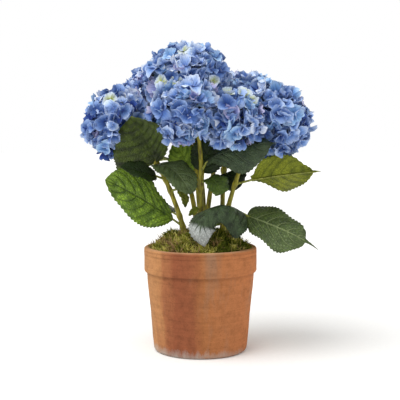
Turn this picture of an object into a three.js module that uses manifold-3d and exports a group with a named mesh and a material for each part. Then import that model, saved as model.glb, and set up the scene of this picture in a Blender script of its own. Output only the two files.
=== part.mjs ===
// A hydrangea in a terracotta pot: the pot, its soil and moss, eight stems with their leaves, and a round
// flower head on each stem. Millimetres, +Z up, +Y away from the viewer, origin under the middle of the pot.

import * as THREE from "three";
import { mergeVertices } from "three/addons/utils/BufferGeometryUtils.js";
import Module from "manifold-3d";

const wasm = await Module();
wasm.setup();

// Driving dimensions of the pot and what fills it
const CLEARANCE = 0.3; // between neighbouring pieces
const SLIVER = 0.1; // facets narrower than this are merged into their neighbours
const POT_HEIGHT = 153;
const RIM_RADIUS = 83;
const LIP_ROUNDING = 3.5;
const BAND_HEIGHT = 37; // the collar round the mouth
const BAND_STEP = 4; // how far the collar stands out of the wall
const WALL = 8.5;
const FLOOR = 10;
const MID_ROUND = 1 - Math.SQRT1_2; // how far a rounding's middle lies inside its corner, by its radius
const FOOT_RADIUS = 69; // of the wall, just over its rounded foot
const FOOT_ROUNDING = 5;
const POT_SIDES = 40;
const SOIL_BELOW_RIM = 12;
const MOSS_BELOW_RIM = 5; // where the moss meets the wall
const MOSS_RISE = 20; // of the mound over the rim
const MOSS_SWELL = 0.8; // how steeply the mound leaves the wall, less for steeper
const MOSS_LUMP = 3;
const MOSS_WAVES = { across: 9, deep: 8, slanting: 6, slantShare: 0.6, shift: 1 }; // lengths of the lumps
const MOSS_EDGE = 0.25; // share of the radius over which the lumps fade out at the wall
const MOSS_SIDES = 24;
const MOSS_RINGS = 5;

// Driving dimensions of the plant
const STEM_RADIUS = { foot: 4.1, tip: 2.7 };
const FOOT_FLARE = { share: 0.35, height: 12 }; // widening at the soil, and how soon it fades
const STEM_SIDES = 7;
const STEM_STEPS = 10;
const STEM_RISE = 38; // how far a stem climbs before it leans, unless its row says otherwise
const CROWN_HEART = new THREE.Vector3(0, 6, 231); // the flower heads look away from here
const NECK = 0.62; // from a head's middle to its stem's tip, as a share of its radius
const PETIOLE_RADIUS = 1.5;
const LEAF_THICKNESS = 1.6;
const LEAF_STEPS = { petiole: 2, blade: 11 };
const LEAF_TIP = 0.5; // least half width of a blade
const STALK_FADE = 0.2; // share of the blade over which the stalk thins out to the blade's thickness
const DRIP_TIP = { width: 0.07, taper: 1.6 }; // half width of a drawn-out tip for each unit of leaf width
const LEAF_HABIT = {
  curl: 1.3, // how late along the blade the curl comes
  base: 0.52, // how narrow the blade's base is
  point: 0.74, // how drawn out its end is
  drip: 0, // share of the blade that is a slim drip tip
  fold: 0.16, // rise of the margins over the midrib, for each unit of width
  skew: 0, // how far one half lies ahead of the other, for each unit of width
  twist: 0, // turn of the blade about its midrib from base to tip, in degrees
  near: [], // swells of the half on its left: by what share, where along the blade and how broad
  far: [], // swells of the half on its right
};
const HEAD_CORE = { across: 0.62, along: 0.54 }; // the hidden heart of a head, as shares of its radius
const HEAD_FLATNESS = 0.9; // a head's reach along its stem against its reach across it
const HEAD_COVER = THREE.MathUtils.degToRad(122); // from a head's crown down to its lowest florets
const FLORETS_PER_AREA = 0.0005; // florets for each square millimetre of a head's sphere
const FLORET_RADIUS = 19;
const FLORET_SETBACK = 8; // of a floret's eye inside the head's reach
const FLORET_DEPTH = 4; // how much deeper some of them sit
const FLORET_SPREAD = { least: 0.88, more: 0.24 }; // sizes of the florets against their usual size
const FLORET_SIZES = [1, 0.82, 0.66]; // tried in turn where a leaf or a stem is in the way
const FLORET_SLIDE = 22; // how far a floret may give way to a neighbouring head
const FLORET_TILT = 0.3;
const WALL_TOUCH = 0.01; // a floret may reach over a wall by no more than this
const PEDICEL_RADIUS = 1.9;
const PEDICEL_ROOT = 0.3; // where a floret's stalk starts on its way from the head's middle
const PETALS = 4;
const PETAL_SHAPE = { taper: 0.05, notch: 0.33, cup: 0.3, eye: 0.04, under: -0.16 }; // shares of its radius
const SEED = 2;

// One row for each stem: where it leaves the soil, the middle and radius of its flower head, and how long it
// has been heading that way before it gets there. A head looks away from the crown's heart, or its own way.
const SHOOTS = [
  { name: "left", foot: [-19, -6], head: [-119, 0, 334], radius: 59, lead: 48 },
  { name: "front_left", foot: [-2, -12], head: [-22, -62, 347], radius: 56, lead: 30,
    look: [-0.45, -0.5, 0.74] },
  { name: "front_right", foot: [6, -2], head: [46, -57, 335], radius: 50, lead: 45,
    look: [0.35, -0.78, 0.52] },
  { name: "right", foot: [30, -2], head: [103, -2, 339], radius: 64, lead: 40, look: [0.61, -0.04, 0.79] },
  { name: "back_right", foot: [33, 20], head: [62, 76, 366], radius: 56, lead: 50 },
  { name: "back_left", foot: [-4, 25], head: [-74, 72, 373], radius: 56, lead: 80, rise: 80 },
  { name: "back", foot: [9, 35], head: [-4, 100, 346], radius: 52, lead: 45 },
  { name: "top", foot: [2, 10], head: [-21, 6, 392], radius: 68, lead: 60 },
];

// One row for each leaf: the share of its stem's length where it springs, where its tip ends, the way its
// upper side looks, its stalk as a share of its length, its width, how far its tip curls under in degrees,
// and what sets it apart from the usual habit. A leaf with "on" springs from the end of that leaf's stalk.
const LEAVES = [
  { name: "left_low", stem: "left", at: 0.227, tip: [-137, -26, 252], face: [0, -0.88, 0.48],
    stalk: 0.13, width: 71, bend: 30, base: 1, point: 0.85, skew: 0.37, fold: 0.05,
    near: [[-0.14, 0.78, 0.12]], far: [[-0.18, 0.27, 0.1]] },
  { name: "left_high", stem: "left", at: 0.754, tip: [-98, -54, 341], face: [-0.45, -0.9, 0.1],
    stalk: 0.04, width: 98, bend: -18, base: 0.5, point: 0.45, skew: 0.45, fold: 0.42,
    near: [[0.25, 0.25, 0.2]] },
  { name: "left_flat", stem: "left", at: 0.62, tip: [-112, -52, 271], face: [0, -0.8, 0.6],
    stalk: 0.22, width: 30, bend: 16 },
  { name: "left_cross", stem: "left", at: 0.754, tip: [-14, -62, 234], face: [0.2, -0.6, 0.75],
    stalk: 0.04, width: 48, bend: 60, base: 0.38, point: 0.46 },
  { name: "left_small", stem: "left", at: 0.52, tip: [-22, -15, 211], face: [0.4, -0.5, 0.7],
    stalk: 0.3, width: 16, bend: 120, curl: 0.5 },
  { name: "middle_back", stem: "top", at: 0.52, tip: [-38, 10, 306], face: [-0.1, -0.9, 0.3],
    stalk: 0.06, width: 52, bend: 10 },
  { name: "middle_small", stem: "front_left", at: 0.4, tip: [-17, -26, 200], face: [-0.3, -0.8, 0.4],
    stalk: 0.2, width: 9, bend: 20 },
  { name: "middle_high", stem: "front_left", at: 0.64, tip: [24, -28, 322], face: [-0.1, -0.9, 0.3],
    stalk: 0.06, width: 48, bend: 8 },
  { name: "middle_hang", stem: "front_left", at: 0.58, tip: [29, -46, 232], face: [0.3, -0.6, 0.7],
    stalk: 0.3, width: 38, bend: 120, curl: 0.7, point: 0.42 },
  { name: "right_high", stem: "front_left", at: 0.67, tip: [106, -64, 306], face: [0.16, -0.57, 0.47],
    stalk: 0.16, width: 60, bend: 73, curl: 0.4, base: 1.49, point: 0.81, drip: 0.07, skew: -0.15,
    fold: -0.44, twist: -14,
    near: [[0.14, 0.17, 0.16], [-0.09, 0.82, 0.2]], far: [[0.11, 0.5, 0.18], [0.1, 0.65, 0.1]] },
  { name: "right_behind", stem: "back_right", at: 0.6, tip: [53, 22, 234], face: [0.1, -0.8, 0.6],
    stalk: 0.12, width: 50, bend: 40 },
  { name: "right_far", stem: "right", at: 0.602, tip: [175, -10, 264], face: [-0.18, 0.57, 0.44],
    stalk: 0.2, width: 62, bend: 15, curl: 0.4, base: 1.03, point: 0.71, drip: 0.11, skew: -0.11, fold: 0.31,
    twist: 2, near: [[0.43, 0.36, 0.15], [0.38, 0.51, 0.19]], far: [[0.6, 0.12, 0.16], [-0.45, 0.8, 0.1]] },
  { name: "low_right", stem: "right", at: 0.392, tip: [164, -70, 157], face: [0.34, -0.91, 0.56],
    stalk: 0.22, width: 77, bend: 27, curl: 3, base: 0.42, point: 0.43, drip: 0.18, skew: 0.42, fold: -0.16,
    twist: 3, near: [[0.3, 0.47, 0.18], [-0.43, 0.5, 0.22]], far: [[-0.25, 0.24, 0.2], [-0.54, 0.9, 0.28]] },
  { name: "low_front", on: "low_right", tip: [6, -71, 161], face: [0.1, -0.1, 1],
    stalk: 0.04, width: 58, bend: 177, curl: 1.84, base: 0.25, point: 0.45, fold: -1, twist: -38,
    near: [[0.24, 0.28, 0.18], [-0.51, 0.59, 0.2], [-0.14, 0.88, 0.1]] },
  { name: "back_low_left", stem: "left", at: 0.31, tip: [-108, 86, 200], face: [-0.2, 0.5, 0.85],
    stalk: 0.14, width: 56, bend: 36 },
  { name: "back_low_middle", stem: "back", at: 0.16, tip: [34, 126, 178], face: [0.1, 0.4, 0.9],
    stalk: 0.12, width: 46, bend: 40 },
  { name: "back_low_right", stem: "back_right", at: 0.16, tip: [128, 74, 176], face: [0.2, 0.5, 0.85],
    stalk: 0.14, width: 56, bend: 36 },
  { name: "back_far_left", stem: "left", at: 0.856, tip: [-104, 88, 290], face: [-0.2, 0.7, 0.7],
    stalk: 0.12, width: 60, bend: 30 },
  { name: "back_left", stem: "back_left", at: 0.62, tip: [-88, 132, 266], face: [-0.1, 0.35, 0.93],
    stalk: 0.12, width: 60, bend: 36 },
  { name: "back_middle", stem: "back", at: 0.62, tip: [10, 136, 262], face: [0, 0.6, 0.8],
    stalk: 0.1, width: 62, bend: 36 },
  { name: "back_right", stem: "back_right", at: 0.62, tip: [92, 128, 288], face: [0.2, 0.6, 0.8],
    stalk: 0.12, width: 62, bend: 40 },
  { name: "back_far_right", stem: "right", at: 0.789, tip: [128, 86, 290], face: [0.2, 0.7, 0.7],
    stalk: 0.12, width: 56, bend: 34 },
].map((row) => ({ ...LEAF_HABIT, ...row }));

// A repeatable source of numbers from 0 to 1
function seededNumbers(seed) {
  let state = seed >>> 0;
  return () => {
    state = (state + 0x6d2b79f5) >>> 0;
    let mixed = Math.imul(state ^ (state >>> 15), state | 1);
    mixed ^= mixed + Math.imul(mixed ^ (mixed >>> 7), mixed | 61);
    return ((mixed ^ (mixed >>> 14)) >>> 0) / 4294967296;
  };
}

const vector = (numbers) => new THREE.Vector3(...numbers);

// The solid that a closed geometry bounds
function solidFrom(geometry) {
  const bare = new THREE.BufferGeometry().setAttribute("position", geometry.getAttribute("position"));
  const merged = mergeVertices(bare.setIndex(geometry.getIndex()), 1e-3);
  const triVerts = new Uint32Array(merged.getIndex().array);
  const vertProperties = merged.getAttribute("position").array;
  return new wasm.Manifold(new wasm.Mesh({ numProp: 3, vertProperties, triVerts }));
}

// The geometry of a solid's surface
function geometryFrom(solid) {
  const { numProp, numVert, vertProperties, triVerts } = solid.getMesh();
  const positions = new Float32Array(numVert * 3);
  for (let i = 0; i < numVert; i++) {
    positions.set(vertProperties.subarray(i * numProp, i * numProp + 3), i * 3);
  }
  const geometry = new THREE.BufferGeometry();
  geometry.setAttribute("position", new THREE.BufferAttribute(positions, 3));
  geometry.setIndex(new THREE.BufferAttribute(triVerts, 1));
  geometry.computeVertexNormals();
  return geometry;
}

// The largest body of a solid, without slivers: loose scraps go, and sealed hollows are filled
function mainBody(solid) {
  const bodies = solid.simplify(SLIVER).decompose();
  return bodies.reduce((most, body) => (body.volume() > most.volume() ? body : most));
}

// Moves each vertex of a geometry to where place() puts it
function shaped(geometry, place) {
  const position = geometry.getAttribute("position");
  const vertex = new THREE.Vector3();
  for (let i = 0; i < position.count; i++) {
    const moved = place(vertex.fromBufferAttribute(position, i));
    position.setXYZ(i, moved.x, moved.y, moved.z);
  }
  return geometry;
}

// A profile of [radius, height] turned about the upright axis
function turned(profile, sides) {
  const points = profile.map(([radius, height]) => new THREE.Vector2(radius, height));
  return new THREE.LatheGeometry(points, sides).rotateX(Math.PI / 2);
}

const potWallRadius = (z) => {
  const shoulder = POT_HEIGHT - BAND_HEIGHT;
  const share = (z - FOOT_ROUNDING) / (shoulder - FOOT_ROUNDING);
  return THREE.MathUtils.lerp(FOOT_RADIUS, RIM_RADIUS - BAND_STEP, share);
};

const potInnerRadius = (z) => {
  const share = (z - FLOOR) / (POT_HEIGHT - LIP_ROUNDING - FLOOR);
  return THREE.MathUtils.lerp(FOOT_RADIUS - WALL, RIM_RADIUS - WALL, share);
};

// The pot: a tapering wall with a rounded foot, a stepped collar and a rounded lip
function potGeometry() {
  const collar = POT_HEIGHT - BAND_HEIGHT;
  const footEdge = FOOT_RADIUS - FOOT_ROUNDING;
  const lipBottom = POT_HEIGHT - LIP_ROUNDING;
  const footMiddle = MID_ROUND * FOOT_ROUNDING;
  const stepMiddle = MID_ROUND * BAND_STEP;
  const lipMiddle = MID_ROUND * LIP_ROUNDING;
  return turned(
    [
      [0, 0],
      [footEdge, 0],
      [FOOT_RADIUS - footMiddle, footMiddle],
      [FOOT_RADIUS, FOOT_ROUNDING],
      [potWallRadius(collar), collar],
      [RIM_RADIUS - stepMiddle, collar + stepMiddle],
      [RIM_RADIUS, collar + BAND_STEP],
      [RIM_RADIUS, lipBottom],
      [RIM_RADIUS - lipMiddle, POT_HEIGHT - lipMiddle],
      [RIM_RADIUS - LIP_ROUNDING, POT_HEIGHT],
      [RIM_RADIUS - WALL + lipMiddle, POT_HEIGHT - lipMiddle],
      [RIM_RADIUS - WALL, lipBottom],
      [potInnerRadius(FLOOR), FLOOR],
      [0, FLOOR],
    ],
    POT_SIDES,
  );
}

// The soil fills the pot up to a level top
const SOIL_TOP = POT_HEIGHT - SOIL_BELOW_RIM;
function soilGeometry() {
  const bottom = FLOOR + CLEARANCE;
  const facets = Math.cos(Math.PI / POT_SIDES); // keeps the soil clear of the pot's flat facets
  const reach = (z) => potInnerRadius(z) * facets - CLEARANCE;
  const profile = [
    [0, bottom],
    [reach(bottom), bottom],
    [reach(SOIL_TOP), SOIL_TOP],
    [0, SOIL_TOP],
  ];
  return turned(profile, POT_SIDES);
}

// The moss: a lumpy mound from the wall to over the rim, with a hole for each stem
function mossSolid(stems) {
  const bottom = SOIL_TOP + CLEARANCE;
  const edgeTop = POT_HEIGHT - MOSS_BELOW_RIM;
  const reach = potInnerRadius(bottom) * Math.cos(Math.PI / MOSS_SIDES) - CLEARANCE;
  const profile = [[0, bottom], [reach, bottom]];
  for (let ring = 0; ring <= MOSS_RINGS; ring++) {
    const share = ring / MOSS_RINGS;
    const height = edgeTop + (MOSS_RISE + MOSS_BELOW_RIM) * Math.sin((share * Math.PI) / 2) ** MOSS_SWELL;
    profile.push([reach * (1 - share), height]);
  }
  const { across, deep, slanting, slantShare, shift } = MOSS_WAVES;
  const mound = shaped(turned(profile, MOSS_SIDES), (p) => {
    const inland = 1 - Math.hypot(p.x, p.y) / reach;
    const lumps = Math.sin(p.x / across + shift) * Math.cos(p.y / deep);
    const ridges = slantShare * Math.sin((p.x + p.y) / slanting);
    const lift = p.z > bottom ? MOSS_LUMP * (lumps + ridges) * Math.min(1, inland / MOSS_EDGE) : 0;
    return p.setZ(p.z + lift);
  });
  return mainBody(stems.reduce((moss, stem) => moss.subtract(stem.room), solidFrom(mound)));
}

// The way that a shoot's flower head looks, which is also the way its stem enters it
const headAxis = (shoot) => {
  const way = shoot.look ? vector(shoot.look) : vector(shoot.head).sub(CROWN_HEART);
  return way.normalize();
};

// A stem's line: straight up out of the soil, then over to its flower head
function stemCurve(shoot) {
  const foot = new THREE.Vector3(...shoot.foot, SOIL_TOP + CLEARANCE);
  const rise = foot.clone().setZ(foot.z + (shoot.rise ?? STEM_RISE));
  const axis = headAxis(shoot);
  const tip = vector(shoot.head).addScaledVector(axis, -NECK * shoot.radius);
  const approach = tip.clone().addScaledVector(axis, -shoot.lead);
  return new THREE.CubicBezierCurve3(foot, rise, approach, tip);
}

// A round limb along a curve, tapering from foot to tip, with extra on its radius
function stemGeometry(curve, extra) {
  const length = curve.getLength();
  const frames = curve.computeFrenetFrames(STEM_STEPS);
  const tube = new THREE.CylinderGeometry(1, 1, 1, STEM_SIDES, STEM_STEPS);
  return shaped(tube, ({ x, y, z }) => {
    const step = Math.round((y + 0.5) * STEM_STEPS);
    const share = step / STEM_STEPS;
    const flare = 1 + FOOT_FLARE.share * Math.exp((-share * length) / FOOT_FLARE.height);
    const radius = THREE.MathUtils.lerp(STEM_RADIUS.foot, STEM_RADIUS.tip, share) * flare + extra;
    return curve
      .getPointAt(share)
      .addScaledVector(frames.binormals[step], x * radius)
      .addScaledVector(frames.normals[step], z * radius);
  });
}

// A stem as a solid, and the room that it needs round it
function makeStem(shoot) {
  const curve = stemCurve(shoot);
  return {
    name: shoot.name,
    curve,
    solid: solidFrom(stemGeometry(curve, 0)),
    room: solidFrom(stemGeometry(curve, CLEARANCE)),
  };
}

// Half the width of a blade at a share of its length, from its base to its drawn-out tip
function evenHalfWidth(share, { width, base, point, drip }) {
  const widest = (base / (base + point)) ** base * (point / (base + point)) ** point;
  const body = Math.min(share / (1 - drip), 1);
  const half = (0.5 * width * body ** base * (1 - body) ** point) / widest;
  const slim = drip ? DRIP_TIP.width * width * Math.min((1 - share) / (drip * DRIP_TIP.taper), 1) : 0;
  return Math.max(half, slim);
}

// The width of a blade's left (-1) or right (1) half, with that half's own swells
function bladeHalfWidth(share, leaf, hand) {
  const half = evenHalfWidth(share, leaf);
  const swells = hand < 0 ? leaf.near : leaf.far;
  const swell = ([amount, place, breadth]) => amount * Math.exp(-(((share - place) / breadth) ** 2));
  return swells.reduce((sum, row) => sum + half * swell(row), half);
}

// A midrib of length 1 in its own plane: its points and headings, straight along the stalk and then curling
function midribShape(leaf) {
  const shares = [];
  for (let i = 0; i < LEAF_STEPS.petiole; i++) shares.push(-1 + i / LEAF_STEPS.petiole);
  for (let i = 0; i <= LEAF_STEPS.blade; i++) shares.push(i / LEAF_STEPS.blade);
  const way = (share) => share * (share < 0 ? leaf.stalk : 1 - leaf.stalk);
  const bend = THREE.MathUtils.degToRad(leaf.bend);
  const heading = (share) => -bend * Math.max(share, 0) ** leaf.curl;
  const point = new THREE.Vector2();
  return shares.map((share, i) => {
    const before = shares[Math.max(i - 1, 0)];
    const turn = heading((share + before) / 2);
    const step = way(share) - way(before);
    point.add(new THREE.Vector2(Math.cos(turn), Math.sin(turn)).multiplyScalar(step));
    return { share, ahead: point.x, up: point.y, turn: heading(share) };
  });
}

// A leaf's stations from its stem to its tip: the midrib's points, with the blade's own directions there
function leafStations(leaf, start) {
  const shape = midribShape(leaf);
  const end = shape[shape.length - 1];
  const chord = vector(leaf.tip).sub(start);
  const length = chord.length() / Math.hypot(end.ahead, end.up);
  const side = new THREE.Vector3().crossVectors(chord, vector(leaf.face)).normalize();
  const along = chord.normalize().applyAxisAngle(side, -Math.atan2(end.up, end.ahead));
  const above = new THREE.Vector3().crossVectors(side, along);
  return shape.map(({ share, ahead, up, turn }) => {
    const normal = above.clone().applyAxisAngle(side, turn);
    const onward = new THREE.Vector3().crossVectors(normal, side);
    const twist = THREE.MathUtils.degToRad(leaf.twist) * Math.max(share, 0);
    return {
      share,
      onward,
      point: start.clone().addScaledVector(along, ahead * length).addScaledVector(above, up * length),
      side: side.clone().applyAxisAngle(onward, twist),
      normal: normal.applyAxisAngle(onward, twist),
    };
  });
}

// A leaf's own body with extra all round: a stalk that widens into a folded, pointed blade
function bladeSolid(leaf, stations, extra) {
  const steps = stations.length - 1;
  const blade = shaped(new THREE.CylinderGeometry(1, 1, 1, 4, steps), ({ x, y, z }) => {
    const { share, point, side, normal, onward } = stations[Math.round((y + 0.5) * steps)];
    const thin = THREE.MathUtils.smoothstep(share, 0, STALK_FADE);
    const slim = THREE.MathUtils.lerp(PETIOLE_RADIUS, LEAF_TIP, thin);
    const half = share < 0 ? slim : Math.max(bladeHalfWidth(share, leaf, Math.sign(x)), slim);
    const rise = share < 0 ? 0 : leaf.fold * half * Math.abs(x);
    const thickness = THREE.MathUtils.lerp(PETIOLE_RADIUS, LEAF_THICKNESS / 2, thin);
    return point
      .clone()
      .addScaledVector(side, x * (half + extra))
      .addScaledVector(onward, share < 0 ? 0 : x * half * leaf.skew)
      .addScaledVector(normal, z * (thickness + extra) + rise);
  });
  return solidFrom(blade);
}

// A leaf as a solid, cut clear of the stem or leaf that it springs from, with what a leaf on it needs
function makeLeaf(leaf, start, carrier) {
  const stations = leafStations(leaf, start);
  return {
    name: leaf.name,
    fork: stations[LEAF_STEPS.petiole].point,
    solid: mainBody(bladeSolid(leaf, stations, 0).subtract(carrier.room)),
    room: bladeSolid(leaf, stations, CLEARANCE),
  };
}

// The walls between a shoot's head and its neighbours: each faces out of the head's own space
function headWalls(shoot) {
  const heart = vector(shoot.head);
  return SHOOTS.filter((other) => other !== shoot).map((other) => {
    const way = vector(other.head).sub(heart);
    const apart = way.length();
    const share = (apart ** 2 + shoot.radius ** 2 - other.radius ** 2) / (2 * apart) - CLEARANCE / 2;
    const normal = way.normalize();
    const place = heart.clone().addScaledVector(normal, share);
    return new THREE.Plane().setFromNormalAndCoplanarPoint(normal, place);
  });
}

// How far the corners of a geometry reach over a wall
function reachOver(geometry, wall) {
  const position = geometry.getAttribute("position");
  const corner = new THREE.Vector3();
  let most = -Infinity;
  for (let i = 0; i < position.count; i++) {
    most = Math.max(most, wall.distanceToPoint(corner.fromBufferAttribute(position, i)));
  }
  return most;
}

// A floret's outline: four broad petals, narrow where two of them meet
function petalReach(angle) {
  const across = Math.abs(((angle * PETALS) / Math.PI + 2 * PETALS) % 2 - 1); // 1 between two petals
  const { taper, notch, cup } = PETAL_SHAPE;
  return { length: 1 - taper * across - notch * across ** 4, rise: cup * (1 - across ** 2) };
}

// One floret, lying in the XY plane with its eye at the origin: a cupped four-petalled star
function floretGeometry(radius) {
  const star = new THREE.SphereGeometry(1, 3 * PETALS, 2).rotateX(Math.PI / 2);
  return shaped(star, ({ x, y, z }) => {
    const onRim = Math.abs(z) < 0.5;
    const { length, rise } = petalReach(Math.atan2(y, x));
    const height = onRim ? rise : z > 0 ? PETAL_SHAPE.eye : PETAL_SHAPE.under;
    return new THREE.Vector3(x * length, y * length, height).multiplyScalar(radius);
  });
}

// Where each floret of a head sits: spread evenly round it by the golden angle, and turned at random
function floretPlaces(shoot, random) {
  const upright = new THREE.Quaternion().setFromUnitVectors(new THREE.Vector3(0, 0, 1), headAxis(shoot));
  const count = Math.round(FLORETS_PER_AREA * 4 * Math.PI * shoot.radius ** 2);
  const stretch = new THREE.Vector3(1, 1, HEAD_FLATNESS);
  return Array.from({ length: count }, (_, i) => {
    const fall = Math.acos(1 - ((i + 0.5) / count) * (1 - Math.cos(HEAD_COVER)));
    const turn = i * Math.PI * (3 - Math.sqrt(5));
    const radial = new THREE.Vector3().setFromSphericalCoords(1, fall, turn).applyAxisAngle(
      new THREE.Vector3(1, 0, 0), Math.PI / 2);
    const lean = new THREE.Vector3(random() - 0.5, random() - 0.5, random() - 0.5);
    const facing = radial.clone().divide(stretch).normalize().addScaledVector(lean, FLORET_TILT).normalize();
    const depth = shoot.radius - FLORET_SETBACK - FLORET_DEPTH * random();
    return {
      eye: radial.multiply(stretch).multiplyScalar(depth).applyQuaternion(upright).add(vector(shoot.head)),
      facing: facing.applyQuaternion(upright),
      spin: 2 * Math.PI * random(),
      size: FLORET_SPREAD.least + FLORET_SPREAD.more * random(),
    };
  });
}

const touchesNone = (solid, others) => others.every((other) => solid.intersect(other).isEmpty());

// A floret at the largest size that touches no limb or leaf, slid back from the walls that it would cross
function floretSolid(place, walls, obstacles) {
  const turn = new THREE.Quaternion().setFromUnitVectors(new THREE.Vector3(0, 0, 1), place.facing);
  for (const share of FLORET_SIZES) {
    const star = floretGeometry(share * place.size * FLORET_RADIUS).rotateZ(place.spin).applyQuaternion(turn);
    const eye = place.eye.clone();
    star.translate(eye.x, eye.y, eye.z);
    for (const wall of [...walls, ...walls]) {
      const back = wall.normal.clone().multiplyScalar(-Math.max(reachOver(star, wall), 0));
      star.translate(back.x, back.y, back.z);
      eye.add(back);
    }
    const crosses = walls.some((wall) => reachOver(star, wall) > WALL_TOUCH);
    if (crosses || eye.distanceTo(place.eye) > FLORET_SLIDE) continue;
    const solid = solidFrom(star);
    if (touchesNone(solid, obstacles)) return { solid, eye };
  }
  return null;
}

// A slim stalk from a head's core to a floret's eye
function pedicelSolid(shoot, eye) {
  const heart = vector(shoot.head);
  const root = heart.clone().lerp(eye, PEDICEL_ROOT);
  const way = eye.clone().sub(root);
  const stalk = new THREE.ConeGeometry(PEDICEL_RADIUS, way.length(), 3);
  const turn = new THREE.Quaternion().setFromUnitVectors(new THREE.Vector3(0, 1, 0), way.normalize());
  const middle = root.lerp(eye, 0.5);
  return solidFrom(stalk.applyQuaternion(turn).translate(middle.x, middle.y, middle.z));
}

// A flower head: a hidden core on a short stalk, with florets standing out of it on all sides
function headSolid(shoot, limbs) {
  const axis = headAxis(shoot);
  const upright = new THREE.Quaternion().setFromUnitVectors(new THREE.Vector3(0, 0, 1), axis);
  const heart = vector(shoot.head);
  const { across, along } = HEAD_CORE;
  const core = new THREE.IcosahedronGeometry(shoot.radius, 1).scale(across, across, along);
  core.applyQuaternion(upright).translate(heart.x, heart.y, heart.z);
  const walls = headWalls(shoot);
  const heartwood = walls.reduce(
    (solid, wall) => solid.trimByPlane(wall.normal.clone().negate().toArray(), wall.constant),
    solidFrom(core),
  );
  const stalkLength = NECK * shoot.radius - CLEARANCE;
  const stalk = new THREE.CylinderGeometry(STEM_RADIUS.tip, STEM_RADIUS.tip, stalkLength, STEM_SIDES);
  stalk.translate(0, -stalkLength / 2, 0);
  stalk.applyQuaternion(new THREE.Quaternion().setFromUnitVectors(new THREE.Vector3(0, 1, 0), axis));
  stalk.translate(heart.x, heart.y, heart.z);
  const pieces = [heartwood, solidFrom(stalk)];
  const random = seededNumbers(SEED + SHOOTS.indexOf(shoot));
  const near = new THREE.Sphere(heart, shoot.radius + FLORET_RADIUS);
  const obstacles = limbs.filter((limb) => {
    const { min, max } = limb.boundingBox();
    return near.intersectsBox(new THREE.Box3(vector(min), vector(max)));
  });
  for (const place of floretPlaces(shoot, random)) {
    const floret = floretSolid(place, walls, obstacles);
    if (!floret) continue;
    const pedicel = pedicelSolid(shoot, floret.eye);
    if (touchesNone(pedicel, obstacles)) pieces.push(floret.solid, pedicel);
  }
  return mainBody(wasm.Manifold.union(pieces));
}

// The finishes
const TERRACOTTA = new THREE.MeshStandardMaterial({ color: 0xb5683f, roughness: 0.9, metalness: 0 });
const SOIL = new THREE.MeshStandardMaterial({ color: 0x3a2c20, roughness: 1, metalness: 0 });
const MOSS = new THREE.MeshStandardMaterial({ color: 0x66702a, roughness: 1, metalness: 0 });
const STEM = new THREE.MeshStandardMaterial({ color: 0x85812f, roughness: 0.6, metalness: 0 });
const LEAF = new THREE.MeshStandardMaterial({ color: 0x46622f, roughness: 0.5, metalness: 0 });
const PETAL = new THREE.MeshStandardMaterial({ color: 0x6f8fd0, roughness: 0.7, metalness: 0 });

function piece(name, geometry, material) {
  const mesh = new THREE.Mesh(geometry, material);
  mesh.name = name;
  return mesh;
}

// The assembly
const stems = SHOOTS.map(makeStem);
const stemOf = Object.fromEntries(stems.map((stem) => [stem.name, stem]));
const leafOf = {};
for (const leaf of LEAVES) {
  const carrier = leaf.on ? leafOf[leaf.on] : stemOf[leaf.stem];
  const start = leaf.on ? carrier.fork : carrier.curve.getPointAt(leaf.at);
  leafOf[leaf.name] = makeLeaf(leaf, start, carrier);
}
const leaves = Object.values(leafOf);
const limbs = [...stems.map((stem) => stem.room), ...leaves.map((leaf) => leaf.solid)];

const planter = new THREE.Group();
planter.add(piece("pot", potGeometry(), TERRACOTTA));
planter.add(piece("soil", soilGeometry(), SOIL));
planter.add(piece("moss", geometryFrom(mossSolid(stems)), MOSS));

const plant = new THREE.Group();
stems.forEach((stem) => plant.add(piece(`stem_${stem.name}`, geometryFrom(stem.solid), STEM)));
leaves.forEach((leaf) => plant.add(piece(`leaf_${leaf.name}`, geometryFrom(leaf.solid), LEAF)));
SHOOTS.forEach((shoot) => {
  const head = headSolid(shoot, limbs);
  plant.add(piece(`bloom_${shoot.name}`, geometryFrom(head), PETAL));
});

const hydrangea = new THREE.Group();
hydrangea.add(planter, plant);
export default hydrangea;
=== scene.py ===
"""A silk hydrangea in a terracotta pot: every solid but the soil is replaced by its finer growth."""

import logging
import math
from dataclasses import dataclass, field
from enum import Enum
from functools import partial

import bmesh
import bpy
import numpy as np
from bmesh.types import BMesh
from bpy.types import Material, Mesh, Node, NodeSocket, NodeTree, Object
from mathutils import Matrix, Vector, noise
from mathutils.bvhtree import BVHTree


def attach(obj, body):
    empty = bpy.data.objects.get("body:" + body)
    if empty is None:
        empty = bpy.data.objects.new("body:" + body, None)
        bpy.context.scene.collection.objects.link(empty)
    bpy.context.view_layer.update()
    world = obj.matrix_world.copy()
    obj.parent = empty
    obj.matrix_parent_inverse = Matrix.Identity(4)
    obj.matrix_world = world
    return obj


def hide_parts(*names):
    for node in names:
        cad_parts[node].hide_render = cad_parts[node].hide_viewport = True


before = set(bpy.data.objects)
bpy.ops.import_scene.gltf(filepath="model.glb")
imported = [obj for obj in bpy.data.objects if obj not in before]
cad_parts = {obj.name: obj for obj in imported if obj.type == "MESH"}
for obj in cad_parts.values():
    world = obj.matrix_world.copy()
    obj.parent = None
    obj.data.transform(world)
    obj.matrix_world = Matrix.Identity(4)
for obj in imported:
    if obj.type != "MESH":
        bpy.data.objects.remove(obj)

LOG = logging.getLogger("hydrangea")
MM = 0.001
BODY = "root"
BAKE_MAP = "OFBake"  # the UV map that each pattern along a leaf, petal or sprig follows
GOLDEN_ANGLE = math.pi * (3 - math.sqrt(5))
FULL_TURN = 2 * math.pi
SEED = 2
WELD = 0.001 * MM  # points closer than this are one
STEEP = 0.9  # a direction that rises or falls more than this counts as upright

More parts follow.
